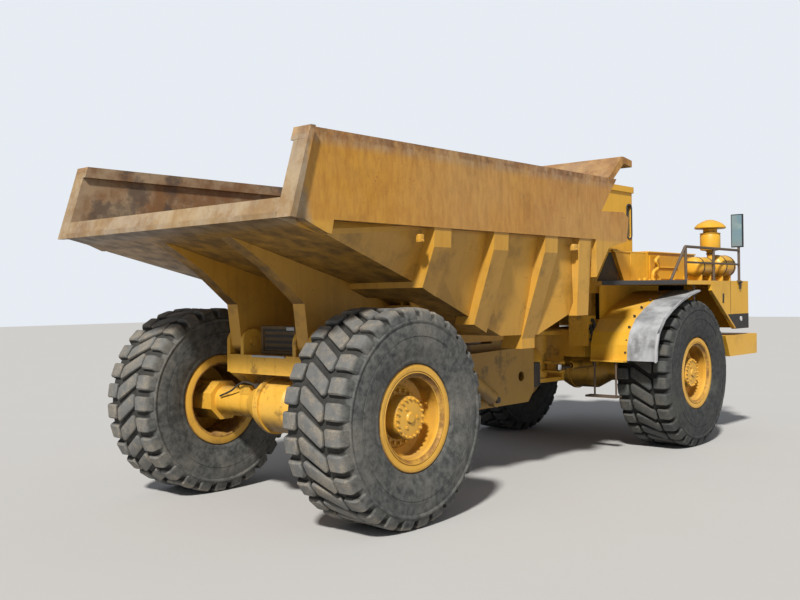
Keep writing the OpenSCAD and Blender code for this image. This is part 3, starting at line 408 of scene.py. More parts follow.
FINISH = {
    "bed_side_right": BED_SIDE, "bed_side_left": BED_SIDE, "bed_floor": BED_FLOOR,
    "bed_front": BED_FRONT, "bed_ribs": BED_RIB, "bed_bearers": BED_RIB, "rubber_flaps": FLAP,
    "steps": RAIL, "engine": STEEL, "grille": BLACK, "handrails": RAIL, "drive_shaft": STEEL,
    "cab_glass": WINDOW, "door_glass": WINDOW, "lamps": LAMP, "cab_interior": VINYL,
    "rear_frame": CHASSIS, "rear_axle": CHASSIS, "hitch": CHASSIS, "tractor_frame": CHASSIS,
    "front_axle": CHASSIS, "pivot_bracket": CHASSIS, "valve_box": CHASSIS,
    "frame_panels": CHASSIS, "steer_pins": STEEL, "hoist_pins": STEEL, "accumulators": STEEL,
}
for name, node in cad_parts.items():
    if name.startswith("tyre"):
        finish = TYRE
    elif name.startswith("rim"):
        finish = RIM
    elif "rod" in name:
        finish = ROD
    elif "barrel" in name:
        finish = CHASSIS
    else:
        finish = FINISH.get(name, TRACTOR)
    node.data.materials.clear()
    node.data.materials.append(finish)


# Modelling by hand tools
HANDS = {-1: "right", 1: "left"}
MERGE = 0.0002
SHARP = math.radians(30)
# A face that looks one way has a normal of at least this length along it
FACING = 0.9


def clear():
    if bpy.context.object and bpy.context.object.mode != "OBJECT":
        bpy.ops.object.mode_set(mode="OBJECT")
    bpy.ops.object.select_all(action="DESELECT")


def choose(*objects):
    """Only these objects are selected, and the first is the active one."""
    clear()
    for each in objects:
        each.select_set(True)
    bpy.context.view_layer.objects.active = objects[0]


def apply_place():
    bpy.ops.object.transform_apply(location=True, rotation=True, scale=True)


class Shape:
    """One piece in the making, its mesh in the truck's own metres."""

    def __init__(self, name):
        self.name = name
        self.object = None

    def _begin(self):
        self.object = bpy.context.object
        self.object.name = self.object.data.name = self.name
        apply_place()
        bpy.ops.object.mode_set(mode="EDIT")
        return self

    def block(self, low, high):
        clear()
        middle = [(a + b) / 2 for a, b in zip(low, high)]
        size = [b - a for a, b in zip(low, high)]
        bpy.ops.mesh.primitive_cube_add(size=1, location=middle, scale=size)
        return self._begin()

    def round_bar(self, start, end, radius, sides):
        clear()
        start, end = Vector(start), Vector(end)
        way = end - start
        bpy.ops.mesh.primitive_cylinder_add(vertices=sides, radius=radius, depth=way.length,
                                            location=(start + end) / 2,
                                            rotation=way.to_track_quat("Z", "Y").to_euler())
        return self._begin()

    def line(self, points, closed=False):
        """A chain of edges through the points, drawn by extruding one vertex."""
        clear()
        bpy.ops.mesh.primitive_plane_add(size=0.01, location=points[0])
        self._begin()
        bpy.ops.mesh.select_mode(type="VERT")
        bpy.ops.mesh.select_all(action="SELECT")
        bpy.ops.mesh.merge(type="CENTER")
        for last, here in zip(points, points[1:]):
            step = [b - a for a, b in zip(last, here)]
            bpy.ops.mesh.extrude_vertices_move(TRANSFORM_OT_translate={"value": step})
        bpy.ops.mesh.select_all(action="SELECT")
        if closed:
            bpy.ops.mesh.edge_face_add()
        return self

    def pull(self, way):
        bpy.ops.mesh.extrude_region_move(TRANSFORM_OT_translate={"value": way})
        bpy.ops.mesh.select_all(action="SELECT")
        bpy.ops.mesh.normals_make_consistent(inside=False)
        return self

    def spin(self, steps, centre=(0, 0, 0), axis=(0, 1, 0), copies=False):
        """A full turn about an axis, as one surface or as separate copies."""
        bpy.ops.mesh.spin(steps=steps, dupli=copies, angle=2 * math.pi, center=centre, axis=axis)
        bpy.ops.mesh.select_all(action="SELECT")
        bpy.ops.mesh.remove_doubles(threshold=MERGE)
        bpy.ops.mesh.normals_make_consistent(inside=False)
        return self

    def repeat(self, count):
        """Copies of the whole piece round the wheels' axis."""
        bpy.ops.object.mode_set(mode="EDIT")
        bpy.ops.mesh.select_all(action="SELECT")
        return self.spin(count, copies=True)

    def pick(self, test):
        """Selects the faces whose normal passes the test."""
        bpy.ops.mesh.select_mode(type="FACE")
        mesh = bmesh.from_edit_mesh(self.object.data)
        for face in mesh.faces:
            face.select_set(test(face.normal))
        mesh.select_flush_mode()
        bmesh.update_edit_mesh(self.object.data)
        return self

    def all(self):
        bpy.ops.mesh.select_all(action="SELECT")
        return self

    def inset(self, wide, deep):
        bpy.ops.mesh.inset(thickness=wide, depth=deep)
        return self

    def soften(self, offset, segments):
        """Rounds every sharp edge."""
        bpy.ops.mesh.select_mode(type="EDGE")
        bpy.ops.mesh.select_all(action="DESELECT")
        bpy.ops.mesh.edges_select_sharp(sharpness=SHARP)
        bpy.ops.mesh.bevel(offset=offset, segments=segments, clamp_overlap=True)
        return self

    def ready(self, finish, body, slot, stands_for=(), smooth=35, side=0):
        """Paints the finished piece, gives it its body and hides the solids it replaces. The slot
        is not used.

        A piece that both sides have is named after its side.
        """
        choose(self.object)
        apply_place()
        bpy.ops.object.shade_smooth_by_angle(angle=math.radians(smooth))
        self.object.data.materials.clear()
        self.object.data.materials.append(finish)
        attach(self.object, body)
        if stands_for:
            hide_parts(*stands_for)
        if side:
            self.object.name = f"{self.name}_{HANDS[side]}"
        return self.object


def joined(name, shapes):
    """Several shapes as one piece."""
    choose(*(shape.object for shape in shapes))
    if len(shapes) > 1:
        bpy.ops.object.join()
    made = Shape(name)
    made.object = bpy.context.object
    made.object.name = made.object.data.name = name
    return made


def copied(shape, name, move, flip):
    """A copy with its own mesh, turned to the left side where flip is set."""
    choose(shape.object)
    bpy.ops.object.duplicate(linked=False)
    made = Shape(name)
    made.object = bpy.context.object
    made.object.name = made.object.data.name = name
    if flip:
        bpy.ops.object.mode_set(mode="EDIT")
        bpy.ops.mesh.select_all(action="SELECT")
        bpy.ops.transform.mirror(constraint_axis=(False, True, False), orient_type="GLOBAL",
                                 center_override=(0, 0, 0))
        bpy.ops.mesh.normals_make_consistent(inside=False)
        bpy.ops.object.mode_set(mode="OBJECT")
    made.object.location = move
    apply_place()
    return made


def gone(shape):
    choose(shape.object)
    bpy.ops.object.delete()


def bolt(place, way, radius, tall=0.012):
    """A hexagon head on a washer."""
    place, way = Vector(place), Vector(way).normalized()
    start = place - way * 0.002
    head = Shape("bolt").round_bar(start, place + way * tall, radius, 6)
    washer = Shape("bolt").round_bar(start, place + way * tall * 0.3, radius * 1.35, 12)
    return [head, washer]


# Wheels: drawn round the origin with the outer side to -Y, then copied to the four places
TYRE_STEPS = 112
RIM_STEPS = 96
LUGS = 28
PITCH = 2 * math.pi / LUGS
LUG_WIDTH = 0.165
BAR_FLOOR_R = 1.0
BAR_TOP_R = 1.076
# A lug's corner stands on the ground, as the solids' one does
FIRST_LUG = math.radians(90) - math.asin(LUG_WIDTH / 2 / AXLE_Z)


def tyre_carcass():
    """The tyre's section, as radius and half width, turned round the axle."""
    wall = [(0.4449, 0.345), (0.5338, 0.345), (0.5435, 0.380), (0.565, 0.392), (0.585, 0.396),
            (0.60, 0.394), (0.62, 0.404), (0.68, 0.416), (0.74, 0.423), (0.785, 0.4247),
            (0.797, 0.4247), (0.800, 0.419), (0.806, 0.419), (0.809, 0.4245), (0.86, 0.4225),
            (0.91, 0.417), (0.930, 0.412), (0.938, 0.418), (0.950, 0.4235), (0.960, 0.4225),
            (0.968, 0.415), (0.976, 0.398), (1.0, 0.372), (1.022, 0.34), (1.030, 0.30),
            (1.032, 0.12)]
    profile = [(r, -y) for r, y in wall] + [(1.032, 0.0)] + wall[::-1]
    profile.append(profile[0])
    return Shape("tyre").line([(r, y, 0) for r, y in profile]).spin(TYRE_STEPS)


def tread_lugs():
    """The blocks of one pitch, drawn at +X, then copied round."""
    shoulder = [(0.99, 0.195), (1.084, 0.195), (1.087, 0.30), (1.083, 0.345), (1.066, 0.375),
                (1.02, 0.398), (0.975, 0.411), (0.955, 0.412), (0.950, 0.38)]
    # y across the tread and the way round, of the bar in the middle
    bar = [(-0.165, 0.020), (-0.165, 0.140), (-0.135, 0.165), (0.125, 0.008), (0.160, -0.020),
           (0.160, -0.140), (0.130, -0.165), (-0.130, -0.008)]
    made = []
    for sign, turn in ((-1, 0.0), (1, 0.5)):
        lug = Shape("lug").line([(r, sign * y, -LUG_WIDTH / 2) for r, y in shoulder], True)
        lug.pull((0, 0, LUG_WIDTH)).soften(0.015, 1)
        made.append((lug, turn))
    middle = Shape("lug").line([(BAR_FLOOR_R, y, z) for y, z in bar], True)
    middle.pull((BAR_TOP_R - BAR_FLOOR_R, 0, 0)).soften(0.017, 2)
    made.append((middle, 0.25))
    for lug, turn in made:
        choose(lug.object)
        lug.object.rotation_euler = (0, FIRST_LUG + turn * PITCH, 0)
        apply_place()
    return joined("lugs", [lug for lug, turn in made]).repeat(LUGS)


def wheel_rim():
    """The rim's section, as radius and distance outwards, three rings of nuts and the valve."""
    profile = [(0.0, 0.318), (0.046, 0.318), (0.055, 0.310), (0.060, 0.300), (0.170, 0.295),
               (0.207, 0.290), (0.215, 0.280), (0.217, 0.150), (0.225, 0.141), (0.298, 0.137),
               (0.307, 0.129), (0.310, 0.098), (0.385, 0.112), (0.402, 0.128), (0.405, 0.170),
               (0.405, 0.285), (0.398, 0.318), (0.400, 0.334), (0.415, 0.345), (0.428, 0.351),
               (0.436, 0.362), (0.444, 0.371), (0.452, 0.371), (0.455, 0.360), (0.460, 0.360),
               (0.463, 0.371), (0.490, 0.3745), (0.520, 0.3745), (0.5325, 0.366), (0.5330, 0.352),
               (0.525, 0.3455), (0.4444, 0.3448), (0.4444, -0.3448), (0.525, -0.3455),
               (0.5330, -0.352), (0.5325, -0.366), (0.520, -0.3745), (0.430, -0.3745),
               (0.4149, -0.360), (0.4149, 0.075), (0.240, 0.030), (0.235, -0.020), (0.0905, -0.020),
               (0.0905, 0.088), (0.0, 0.090)]
    parts = [Shape("rim").line([(r, -y, 0) for r, y in profile]).spin(RIM_STEPS)]
    for radius, y, count, size, tall in ((0.190, 0.292, 20, 0.013, 0.020),
                                         (0.262, 0.139, 20, 0.017, 0.030),
                                         (0.105, 0.298, 3, 0.016, 0.010)):
        parts.append(joined("nuts", bolt((radius, -y, 0), (0, -1, 0), size, tall)).repeat(count))
    valve = Shape("valve").round_bar((0.34, -0.10, 0.10), (0.355, -0.215, 0.105), 0.009, 8)
    return joined("rim_made", parts + [valve])


def four_wheels():
    tyre = joined("tyre_made", [tyre_carcass(), tread_lugs()])
    rim = wheel_rim()
    for half, x in (("rear", REAR_AXLE_X), ("front", FRONT_AXLE_X)):
        for side, hand in HANDS.items():
            where = (x, side * WHEEL_Y, AXLE_Z)
            body = f"wheel_{half}_{hand}"
            copied(tyre, f"{half}_{hand}_tyre", where, side > 0).ready(
                TYRE, body, "tyre_rubber", [f"tyre_{half}_{hand}"])
            copied(rim, f"{half}_{hand}_rim", where, side > 0).ready(
                RIM, body, "yellow_paint", [f"rim_{half}_{hand}"], 40)
    gone(tyre)
    gone(rim)


four_wheels()


# Trim of the deck, hood, locker and mudguards
DECK_EDGE_Z = 2.412
HOOD_Y = 1.0
FENDER_Y = 1.898
FENDER_LAMP = (8.12, 1.86)
# The lower outer rim of the rubber flap, x and z
GUARD_RIM = [(5.060, 1.345), (5.080, 1.560), (5.150, 1.740), (5.330, 1.920), (5.570, 2.050),
             (5.900, 2.180), (6.200, 2.270), (6.500, 2.330)]
# The bolts that hold the flap to the mudguard's arch, x and z, and how far out they sit
GUARD_BOLTS = [(6.16, 2.285), (5.86, 2.19), (5.58, 2.085), (5.36, 1.965), (5.20, 1.81),
               (5.115, 1.62), (5.075, 1.45)]
GUARD_BOLT_Y = 1.452
# Steps of a bent pipe from one given point to the next
PATH_STEPS = 6


def at(x, y, z):
    """A place that is written from the rear axle, as in the solids' source."""
    return (x + REAR_AXLE_X, y, z)


def side_block(name, low, high, side):
    """A block on one side of the truck, with y counted outwards."""
    y0, y1 = sorted((side * low[1], side * high[1]))
    return Shape(name).block(at(low[0], y0, low[2]), at(high[0], y1, high[2]))


def smooth_path(points):
    """A smooth line through the points."""
    points = [Vector(p) for p in points]
    ends = [2 * points[0] - points[1]] + points + [2 * points[-1] - points[-2]]
    path = []
    for a, b, c, d in zip(ends, ends[1:], ends[2:], ends[3:]):
        for i in range(PATH_STEPS):
            t = i / PATH_STEPS
            path.append(0.5 * (2 * b + (c - a) * t + (2 * a - 5 * b + 4 * c - d) * t * t
                               + (3 * b - a - 3 * c + d) * t ** 3))
    return path + [points[-1]]


def tube(name, points, radius):
    """A round pipe on a smooth line, made from a curve."""
    path = smooth_path(points)
    clear()
    bpy.ops.curve.primitive_bezier_curve_add(location=(0, 0, 0))
    curve = bpy.context.object
    curve.data.splines.clear()
    spline = curve.data.splines.new("POLY")
    spline.points.add(len(path) - 1)
    for point, place in zip(spline.points, path):
        point.co = (*place, 1)
    curve.data.bevel_depth = radius
    curve.data.bevel_resolution = 3
    curve.data.use_fill_caps = True
    bpy.ops.object.convert(target="MESH")
    return Shape(name)._begin()


def plate(name, outline, thick, y0, side):
    """A plate of x, z points from y0 outwards, on the named side."""
    made = Shape(name).line([at(x, side * y0, z) for x, z in outline], True)
    return made.pull((0, side * thick, 0))


def frame_round(name, low, high, y0, thick, border, side):
    """A raised border round a rectangle of x and z on a side wall."""
    made = side_block(name, (low[0], y0, low[1]), (high[0], y0 + thick, high[1]), side)
    made.pick(lambda normal: normal.y * side > FACING).inset(border, -thick * 0.7)
    return made


def deck_trim(side):
    """The deck's rubber edge, the flap's pale rim and its row of bolts."""
    edge = [(5.08, 1.090), (6.12, 1.900), (6.112, 1.912), (5.068, 1.099)]
    strip = Shape("deck_edge_rubber").line([at(x, side * y, DECK_EDGE_Z) for x, y in edge], True)
    strip.pull((0, 0, 0.064))
    strip.soften(0.006, 1)
    strip.ready(RUBBER, "tractor", "flap_rubber", side=side)
    lip = Shape("guard_rim").line([at(x, side * 1.905, z) for x, z in GUARD_RIM])
    lip.pull((0, side * 0.028, 0)).all().pull((-0.010, 0, -0.020))
    lip.ready(PALE_EDGE, "tractor", "flap_rubber", side=side)
    heads = []
    for x, z in GUARD_BOLTS:
        heads += bolt(at(x, side * GUARD_BOLT_Y, z), (-1, 0, -0.6 if x > 5.3 else -0.2), 0.016)
    bolts = joined("guard_bolts", heads)
    bolts.ready(STEEL, "tractor", "dark_steel", side=side)


def hood_trim(side):
    """The hood's side door with its ridge and hinges, the lip above it and a bent pipe."""
    door = frame_round("hood_door", (6.74, 2.515), (8.22, 2.885), HOOD_Y, 0.014, 0.045, side)
    door.soften(0.004, 1)
    ridge = Shape("hood_ridge").round_bar(at(6.98, side * 1.012, 2.70),
                                          at(7.72, side * 1.012, 2.70), 0.014, 12)
    top = side_block("hood_lip", (6.68, 0.985, 2.925), (8.42, 1.022, 2.950), side)
    top.soften(0.006, 1)
    hinges = []
    for x in (6.95, 7.45, 7.95):
        hinge = Shape("hinge").round_bar(at(x, side * 1.020, 2.505),
                                         at(x + 0.12, side * 1.020, 2.505), 0.018, 10)
        leaf = side_block("hinge", (x + 0.01, HOOD_Y, 2.505), (x + 0.11, 1.018, 2.575), side)
        leaf.soften(0.004, 1)
        hinges += [hinge, leaf]
    panels = joined("hood_side", [door, ridge, top] + hinges)
    panels.ready(TRACTOR, "tractor", "yellow_paint", side=side)
    curl = ((6.72, 1.06, 2.50), (6.74, 1.07, 2.62), (6.86, 1.08, 2.69), (6.80, 1.08, 2.80),
            (6.92, 1.07, 2.86), (7.02, 1.00, 2.86))
    pipe = tube("hood_pipe", [at(x, side * y, z) for x, y, z in curl], 0.026)
    pipe.ready(TRACTOR, "tractor", "yellow_paint", side=side)


def locker_trim():
    """Right side only: the locker behind the hood, with a black sheet painted as the shade in its
    open end, its step and top lip, the ears on it and the lifting lugs on the deck."""
    # Painted shade: a black sheet where the locker's open end shows only shade.
    shaded_opening = [(5.205, 2.478), (5.565, 2.905), (5.625, 2.905), (5.905, 2.478)]
    shade_sheet = plate("locker_shade_sheet", shaded_opening, 0.008, 0.941, -1)
    shade_sheet.ready(BLACK, "tractor", "black_paint")
    step = plate("locker_step", [(6.11, 2.475), (6.11, 2.918), (6.61, 2.918), (6.61, 2.475)],
                 0.012, 1.0, -1)
    step.soften(0.004, 1)
    lip = plate("locker_lip", [(5.60, 2.905), (5.60, 2.930), (6.63, 2.930), (6.63, 2.905)],
                0.022, 0.99, -1)
    lip.soften(0.005, 1)
    ears = []
    for x in (5.56, 5.68, 5.80):
        ears.append(Shape("ear").round_bar(at(x, -0.93, 2.945), at(x + 0.07, -0.93, 2.945),
                                           0.020, 10))
    joined("locker_panels", [step, lip] + ears).ready(TRACTOR, "tractor", "yellow_paint")
    lumps = []
    for x, size in ((6.22, 0.030), (6.40, 0.042), (6.56, 0.028), (6.70, 0.034)):
        lump = Shape("deck_lug").block(at(x, -1.10, 2.472),
                                       at(x + 2 * size, -1.10 + size, 2.472 + 1.4 * size))
        lump.soften(size * 0.3, 2)
        lumps.append(lump)
    joined("deck_lugs", lumps).ready(TRACTOR, "tractor", "yellow_paint")


def fender_trim(side):
    """The front fender's seam, grip, dark panel, folded edge, side lamp and latch."""
    seam = plate("seam", [(7.716, 1.95), (7.716, 2.462), (7.726, 2.462), (7.726, 1.95)],
                 0.004, FENDER_Y, side)
    grip = plate("grip", [(7.40, 2.12), (7.41, 2.27), (7.47, 2.27), (7.46, 2.12)],
                 0.006, FENDER_Y, side)
    grip.soften(0.010, 2)
    panel = plate("dark_panel", [(7.530, 1.940), (7.870, 1.702), (8.448, 1.702), (8.448, 1.940)],
                  0.004, FENDER_Y + 0.001, side)
    marks = joined("fender_marks", [seam, grip, panel])
    marks.ready(BLACK, "tractor", "black_paint", side=side)
    edge = plate("fender_edge", [(6.965, 2.325), (6.995, 2.345), (7.895, 1.725), (7.865, 1.700)],
                 0.030, 1.88, side)
    edge.soften(0.006, 1)
    edge.ready(TRACTOR, "tractor", "yellow_paint", side=side)
    x, z = FENDER_LAMP
    lens = Shape("fender_lamp").round_bar(at(x, side * FENDER_Y, z),
                                          at(x, side * (FENDER_Y + 0.014), z), 0.040, 20)
    lens.ready(LAMP, "tractor", "lamp_lens", side=side)
    latch = side_block("latch", (8.00, 1.86, 2.44), (8.16, 1.925, 2.465), side)
    tail = side_block("latch", (8.06, 1.90, 2.34), (8.11, 1.925, 2.45), side)
    latch = joined("fender_latch", [latch, tail])
    latch.ready(STEEL, "tractor", "dark_steel", side=side)


CLEANER_Y = -1.59
CLEANER_Z = 2.53
STACK_X = 7.69
DRUM_STEPS = 40


def air_cleaner_made():
    """Two drums with domed ends and clamp bands, and the upright with its bowl and rain cap."""
    y, parts, bands = CLEANER_Y, [], []
    for x0, x1, r in ((6.99, 7.57, 0.160), (7.79, 8.34, 0.185)):
        z = CLEANER_Z + r
        shape = [(0.0, -0.033), (r * 0.45, -0.028), (r * 0.68, -0.012), (r * 0.86, 0.014),
                 (r * 0.96, 0.050), (r - 0.003, 0.090)]
        profile = [at(x0 + x, y, z + q) for q, x in shape]
        profile += [at(x1 - x, y, z + q) for q, x in reversed(shape)]
        parts.append(Shape("drum").line(profile).spin(DRUM_STEPS, at(x0, y, z), (1, 0, 0)))
        for x in (x0 + 0.10, x1 - 0.14):
            outline = ((0, -0.004), (0, 0), (0.035, 0), (0.035, -0.004))
            band = [at(x + wide, y, z + r + up) for wide, up in outline]
            bands.append(Shape("band").line(band).spin(DRUM_STEPS, at(x0, y, z), (1, 0, 0)))
            foot = Shape("foot").block(at(x - 0.005, y - 0.11, 2.4705),
                                       at(x + 0.04, y + 0.11, 2.60))
            foot.soften(0.006, 1)
            parts.append(foot)
    link = Shape("link").round_bar(at(7.55, y, 2.695), at(7.81, y, 2.695), 0.058, 20)
    shape = [(0.0, 2.60), (0.054, 2.60), (0.055, 2.93), (0.075, 2.955), (0.150, 2.968),
             (0.158, 2.985), (0.158, 3.205), (0.150, 3.222), (0.162, 3.228), (0.162, 3.240),
             (0.110, 3.250), (0.108, 3.305), (0.232, 3.312), (0.244, 3.322), (0.242, 3.340),
             (0.200, 3.385), (0.130, 3.425), (0.060, 3.452), (0.0, 3.460)]
    stack = Shape("stack").line([at(STACK_X + q, y, z) for q, z in shape])
    stack.spin(DRUM_STEPS, at(STACK_X, y, 0), (0, 0, 1))
    cleaner = joined("air_cleaner_made", parts + [link, stack])
    cleaner.ready(TRACTOR, "tractor", "yellow_paint", ["air_cleaner"])
    for z in (2.80, 2.90):
        outline = ((0.054, 0), (0.066, 0), (0.066, 0.02), (0.054, 0.02))
        ring = [at(STACK_X + q, y, z + up) for q, up in outline]
        bands.append(Shape("band").line(ring).spin(28, at(STACK_X, y, 0), (0, 0, 1)))
    joined("air_cleaner_bands", bands).ready(STEEL, "tractor", "dark_steel")
    bend = ((8.28, -0.02, 2.74), (8.42, -0.02, 2.74), (8.41, 0.10, 2.66), (8.36, 0.30, 2.62),
            (8.20, 0.50, 2.62), (8.05, 0.60, 2.62))
    elbow = tube("air_elbow", [at(x, y + out, z) for x, out, z in bend], 0.050)
    elbow.ready(DUCT, "tractor", "flap_rubber")


def mirrors(side):
    shell = side_block("mirror_shell", (8.172, 1.735, 3.020), (8.2165, 1.930, 3.560), side)
    shell.pick(lambda normal: normal.x < -FACING).inset(0.012, -0.006)
    shell.soften(0.005, 2)
    shell.ready(BLACK, "tractor", "black_paint", side=side)
    glass = side_block("mirror_glass", (8.1705, 1.750, 3.036), (8.1760, 1.915, 3.544), side)
    glass.soften(0.001, 1)
    glass.ready(MIRROR, "tractor", "lamp_lens", side=side)


for side in (-1, 1):
    deck_trim(side)
    hood_trim(side)
    fender_trim(side)
    mirrors(side)
locker_trim()
air_cleaner_made()


# Trim of the cab: seals round the panes, the seat, the console and the steering wheel
CAB_FLOOR_Z = 2.3603
# The steering wheel's radius and its grip's
HAND_R = 0.195
GRIP_R = 0.0165
SEAL_WIDTH = 0.015
CORNER_STEPS = 5
# Wall, its outer face, the pane's middle along the wall and its height, the pane's width,
# tallness and corner, and the way out
PANES = [("front", 6.640, 0.000, 3.405, 1.360, 0.690, 0.070, 1),
         ("back", 5.500, 0.000, 3.380, 1.200, 0.640, 0.070, -1),
         ("right", -0.800, 6.475, 3.415, 0.150, 0.530, 0.060, -1),
         ("door", 0.798, 6.100, 3.400, 0.520, 0.620, 0.070, 1)]


def rounded(width, height, corner):
    """A rounded rectangle's points round its middle."""
    points = []
    for cx, cy, start in ((1, 1, 0), (-1, 1, 90), (-1, -1, 180), (1, -1, 270)):
        for i in range(CORNER_STEPS + 1):
            turn = math.radians(start + 90 * i / CORNER_STEPS)
            points.append((cx * (width / 2 - corner) + corner * math.cos(turn),
                           cy * (height / 2 - corner) + corner * math.sin(turn)))
    return points


def pane_seal(wall, face, middle, height, width, tall, corner, way):
    grown = rounded(width + 2 * SEAL_WIDTH, tall + 2 * SEAL_WIDTH, corner + SEAL_WIDTH)
    if wall in ("front", "back"):
        points = [at(face, middle + u, height + v) for u, v in grown]
        out = (0.010 * way, 0, 0)
    else:
        points = [at(middle + u, face, height + v) for u, v in grown]
        out = (0, 0.010 * way, 0)
    seal = Shape("seal").line(points, True).inset(0.026, 0)
    bpy.ops.mesh.delete(type="FACE")
    seal.all().pull(out)
    body = "cab_door" if wall == "door" else "tractor"
    seal.ready(RUBBER, body, "flap_rubber").name = f"{wall}_pane_seal"


def cab_inside():
    """A padded seat on its stand, the console and the steering wheel."""
    floor = CAB_FLOOR_Z
    low = Shape("seat_cushion").block(at(5.685, -0.250, floor + 0.262),
                                      at(6.175, 0.250, floor + 0.368))
    low.pick(lambda normal: normal.z > FACING).inset(0.055, 0.0)
    low.inset(0.012, -0.014)
    low.soften(0.024, 3)
    side = [(5.690, 0.345), (5.606, 1.010), (5.640, 1.034), (5.684, 1.036), (5.715, 0.960),
            (5.775, 0.375)]
    back = Shape("seat_back").line([at(x, -0.235, floor + z) for x, z in side], True)
    back.pull((0, 0.47, 0))
    back.pick(lambda normal: normal.x > 0.85).inset(0.05, 0.0)
    back.inset(0.012, -0.012)
    back.soften(0.020, 3)
    for made, fill in ((low, 0.7), (back, 0.6)):
        made.ready(VINYL, "tractor", "seat_vinyl", ["cab_interior"], 60)
    stand = Shape("seat_stand").block(at(5.765, -0.175, floor), at(6.055, 0.175, floor + 0.262))
    stand.pick(lambda normal: abs(normal.z) < 0.1).inset(0.03, -0.012)
    stand.soften(0.006, 1)
    desk = [(6.400, 0.0), (6.400, 0.560), (6.455, 0.640), (6.570, 0.640), (6.570, 0.0)]
    console = Shape("console").line([at(x, -0.600, floor + z) for x, z in desk], True)
    console.pull((0, 1.2, 0))
    console.pick(lambda normal: normal.x < -0.5).inset(0.04, -0.006)
    console.soften(0.008, 2)
    column = Shape("column").round_bar(at(6.420, 0, floor + 0.600), at(6.310, 0, floor + 0.712),
                                       0.030, 16)
    grip = [math.radians(30 * i) for i in range(13)]
    ring = Shape("wheel_ring")
    ring.line([(HAND_R + GRIP_R * math.cos(t), 0, GRIP_R * math.sin(t)) for t in grip])
    ring.spin(40, (0, 0, 0), (0, 0, 1))
    spokes = []
    for turn in (60, 180, 300):
        way = Vector((math.cos(math.radians(turn)), math.sin(math.radians(turn)), 0))
        spokes.append(Shape("spoke").round_bar((0, 0, 0), way * (HAND_R - 0.005), 0.012, 10))
    hub = Shape("hub").round_bar((0, 0, -0.018), (0, 0, 0.018), 0.044, 20)
    hub.soften(0.005, 2)
    wheel = joined("steering_wheel", [ring, hub] + spokes)
    wheel.object.rotation_euler = (0, math.radians(-40), 0)
    wheel.object.location = at(6.300, 0, floor + 0.720)
    wheel.ready(BLACK, "tractor", "black_paint", ["cab_interior"], 60)
    console = joined("cab_console", [stand, console, column])
    console.ready(BLACK, "tractor", "black_paint", ["cab_interior"])


HEADLAMP_Z = 2.18
# The ring round a lamp, x and radius
BEZEL = [(8.452, 0.096), (8.452, 0.112), (8.528, 0.110), (8.528, 0.096), (8.452, 0.096)]


def lamp_bezels():
    for side in (-1, 1):
        for y in (1.300, 1.560):
            outline = [at(x, side * y + r, HEADLAMP_Z) for x, r in BEZEL]
            bezel = Shape("bezel").line(outline).spin(32, at(0, side * y, HEADLAMP_Z), (1, 0, 0))
            bezel.ready(BLACK, "tractor", "black_paint")


# Trim of the rear half, the axles and the bed, and the pipes at the middle joint
def rear_plate():
    face = Shape("slotted_plate").block(at(-0.125, -0.300, 1.665), at(-0.085, 0.270, 1.980))
    face.pick(lambda normal: normal.x < -FACING).inset(0.035, 0.0)
    face.inset(0.004, -0.022)
    face.soften(0.004, 1)
    # Painted shade: the slotted plate takes a dark brown.
    face.ready(SHADED_PLATE, "rear_half", "dark_steel")
    # The slots are black blocks: painted shade in the openings.
    slots = []
    for z in (1.735, 1.800, 1.865, 1.930):
        slots.append(Shape("slot").block(at(-0.112, -0.245, z - 0.014),
                                         at(-0.101, 0.215, z + 0.014)))
    joined("plate_slots", slots).ready(BLACK, "rear_half", "black_paint")
    bar = Shape("pale_bar").block(at(-0.137, -0.290, 1.930), at(-0.124, -0.170, 1.965))
    strip = Shape("pale_bar").block(at(-0.290, -0.300, 1.640), at(-0.272, 0.240, 1.6625))
    for piece in (bar, strip):
        piece.soften(0.003, 1)
    joined("pale_strips", [bar, strip]).ready(PALE_EDGE, "rear_half", "dark_steel")


# The brake line's bends, y and z
BRAKE_LINE = ((0.94, 1.16), (0.74, 1.23), (0.62, 1.30), (0.51, 1.34), (0.40, 1.335), (0.28, 1.31))


def axle_trim(x, body, behind):
    """Bolts round the axle's cover flange and the brake line clipped to its tube."""
    ring = joined("cover_bolts", bolt((0.300, 0.170, 0), (0, 1, 0), 0.017, 0.016)).repeat(20)
    clear()
    ring.object.location = (x, 0, AXLE_Z)
    ring.ready(STEEL, body, "dark_steel")
    back = -1 if behind else 1
    for side in (-1, 1):
        path = [(x + back * 0.185, side * y, z) for y, z in BRAKE_LINE]
        line = tube("brake_line", path, 0.011)
        line.ready(STEEL, body, "dark_steel")
        knob = Shape("port").round_bar((x + back * 0.15, side * 0.28, 1.31),
                                       (x + back * 0.205, side * 0.28, 1.31), 0.028, 6)
        knob.ready(STEEL, body, "dark_steel")


def bed_hooks():
    for side in (-1, 1):
        hooks = []
        for x0, x1 in ((0.130, 0.200), (3.040, 3.140)):
            hook = side_block("hook", (x0, 1.800, 2.815), (x1, 1.860, 2.900), side)
            hook.soften(0.012, 2)
            x = (x0 + x1) / 2
            eye = Shape("hook").round_bar(at(x, side * 1.79, 2.835), at(x, side * 1.875, 2.835),
                                          0.014, 12)
            hooks += [hook, eye]
        joined("bed_hooks", hooks).ready(BED_RIB, "bed", "body_paint")


def bed_corner_plates():
    """Plates that close the wedge between each side wall's end and the leaning front wall."""
    for side in (-1, 1):
        edge = [at(x, side * y, z) for x, y, z in ((3.497, 1.660, 2.152), (3.515, 1.660, 2.152),
                                                   (3.585, 1.761, 2.974), (3.497, 1.761, 2.974))]
        wedge = Shape("bed_corner_plate").line(edge, True).pull((0, side * 0.055, 0))
        wedge.ready(BED_SIDE, "bed", "body_paint", side=side)


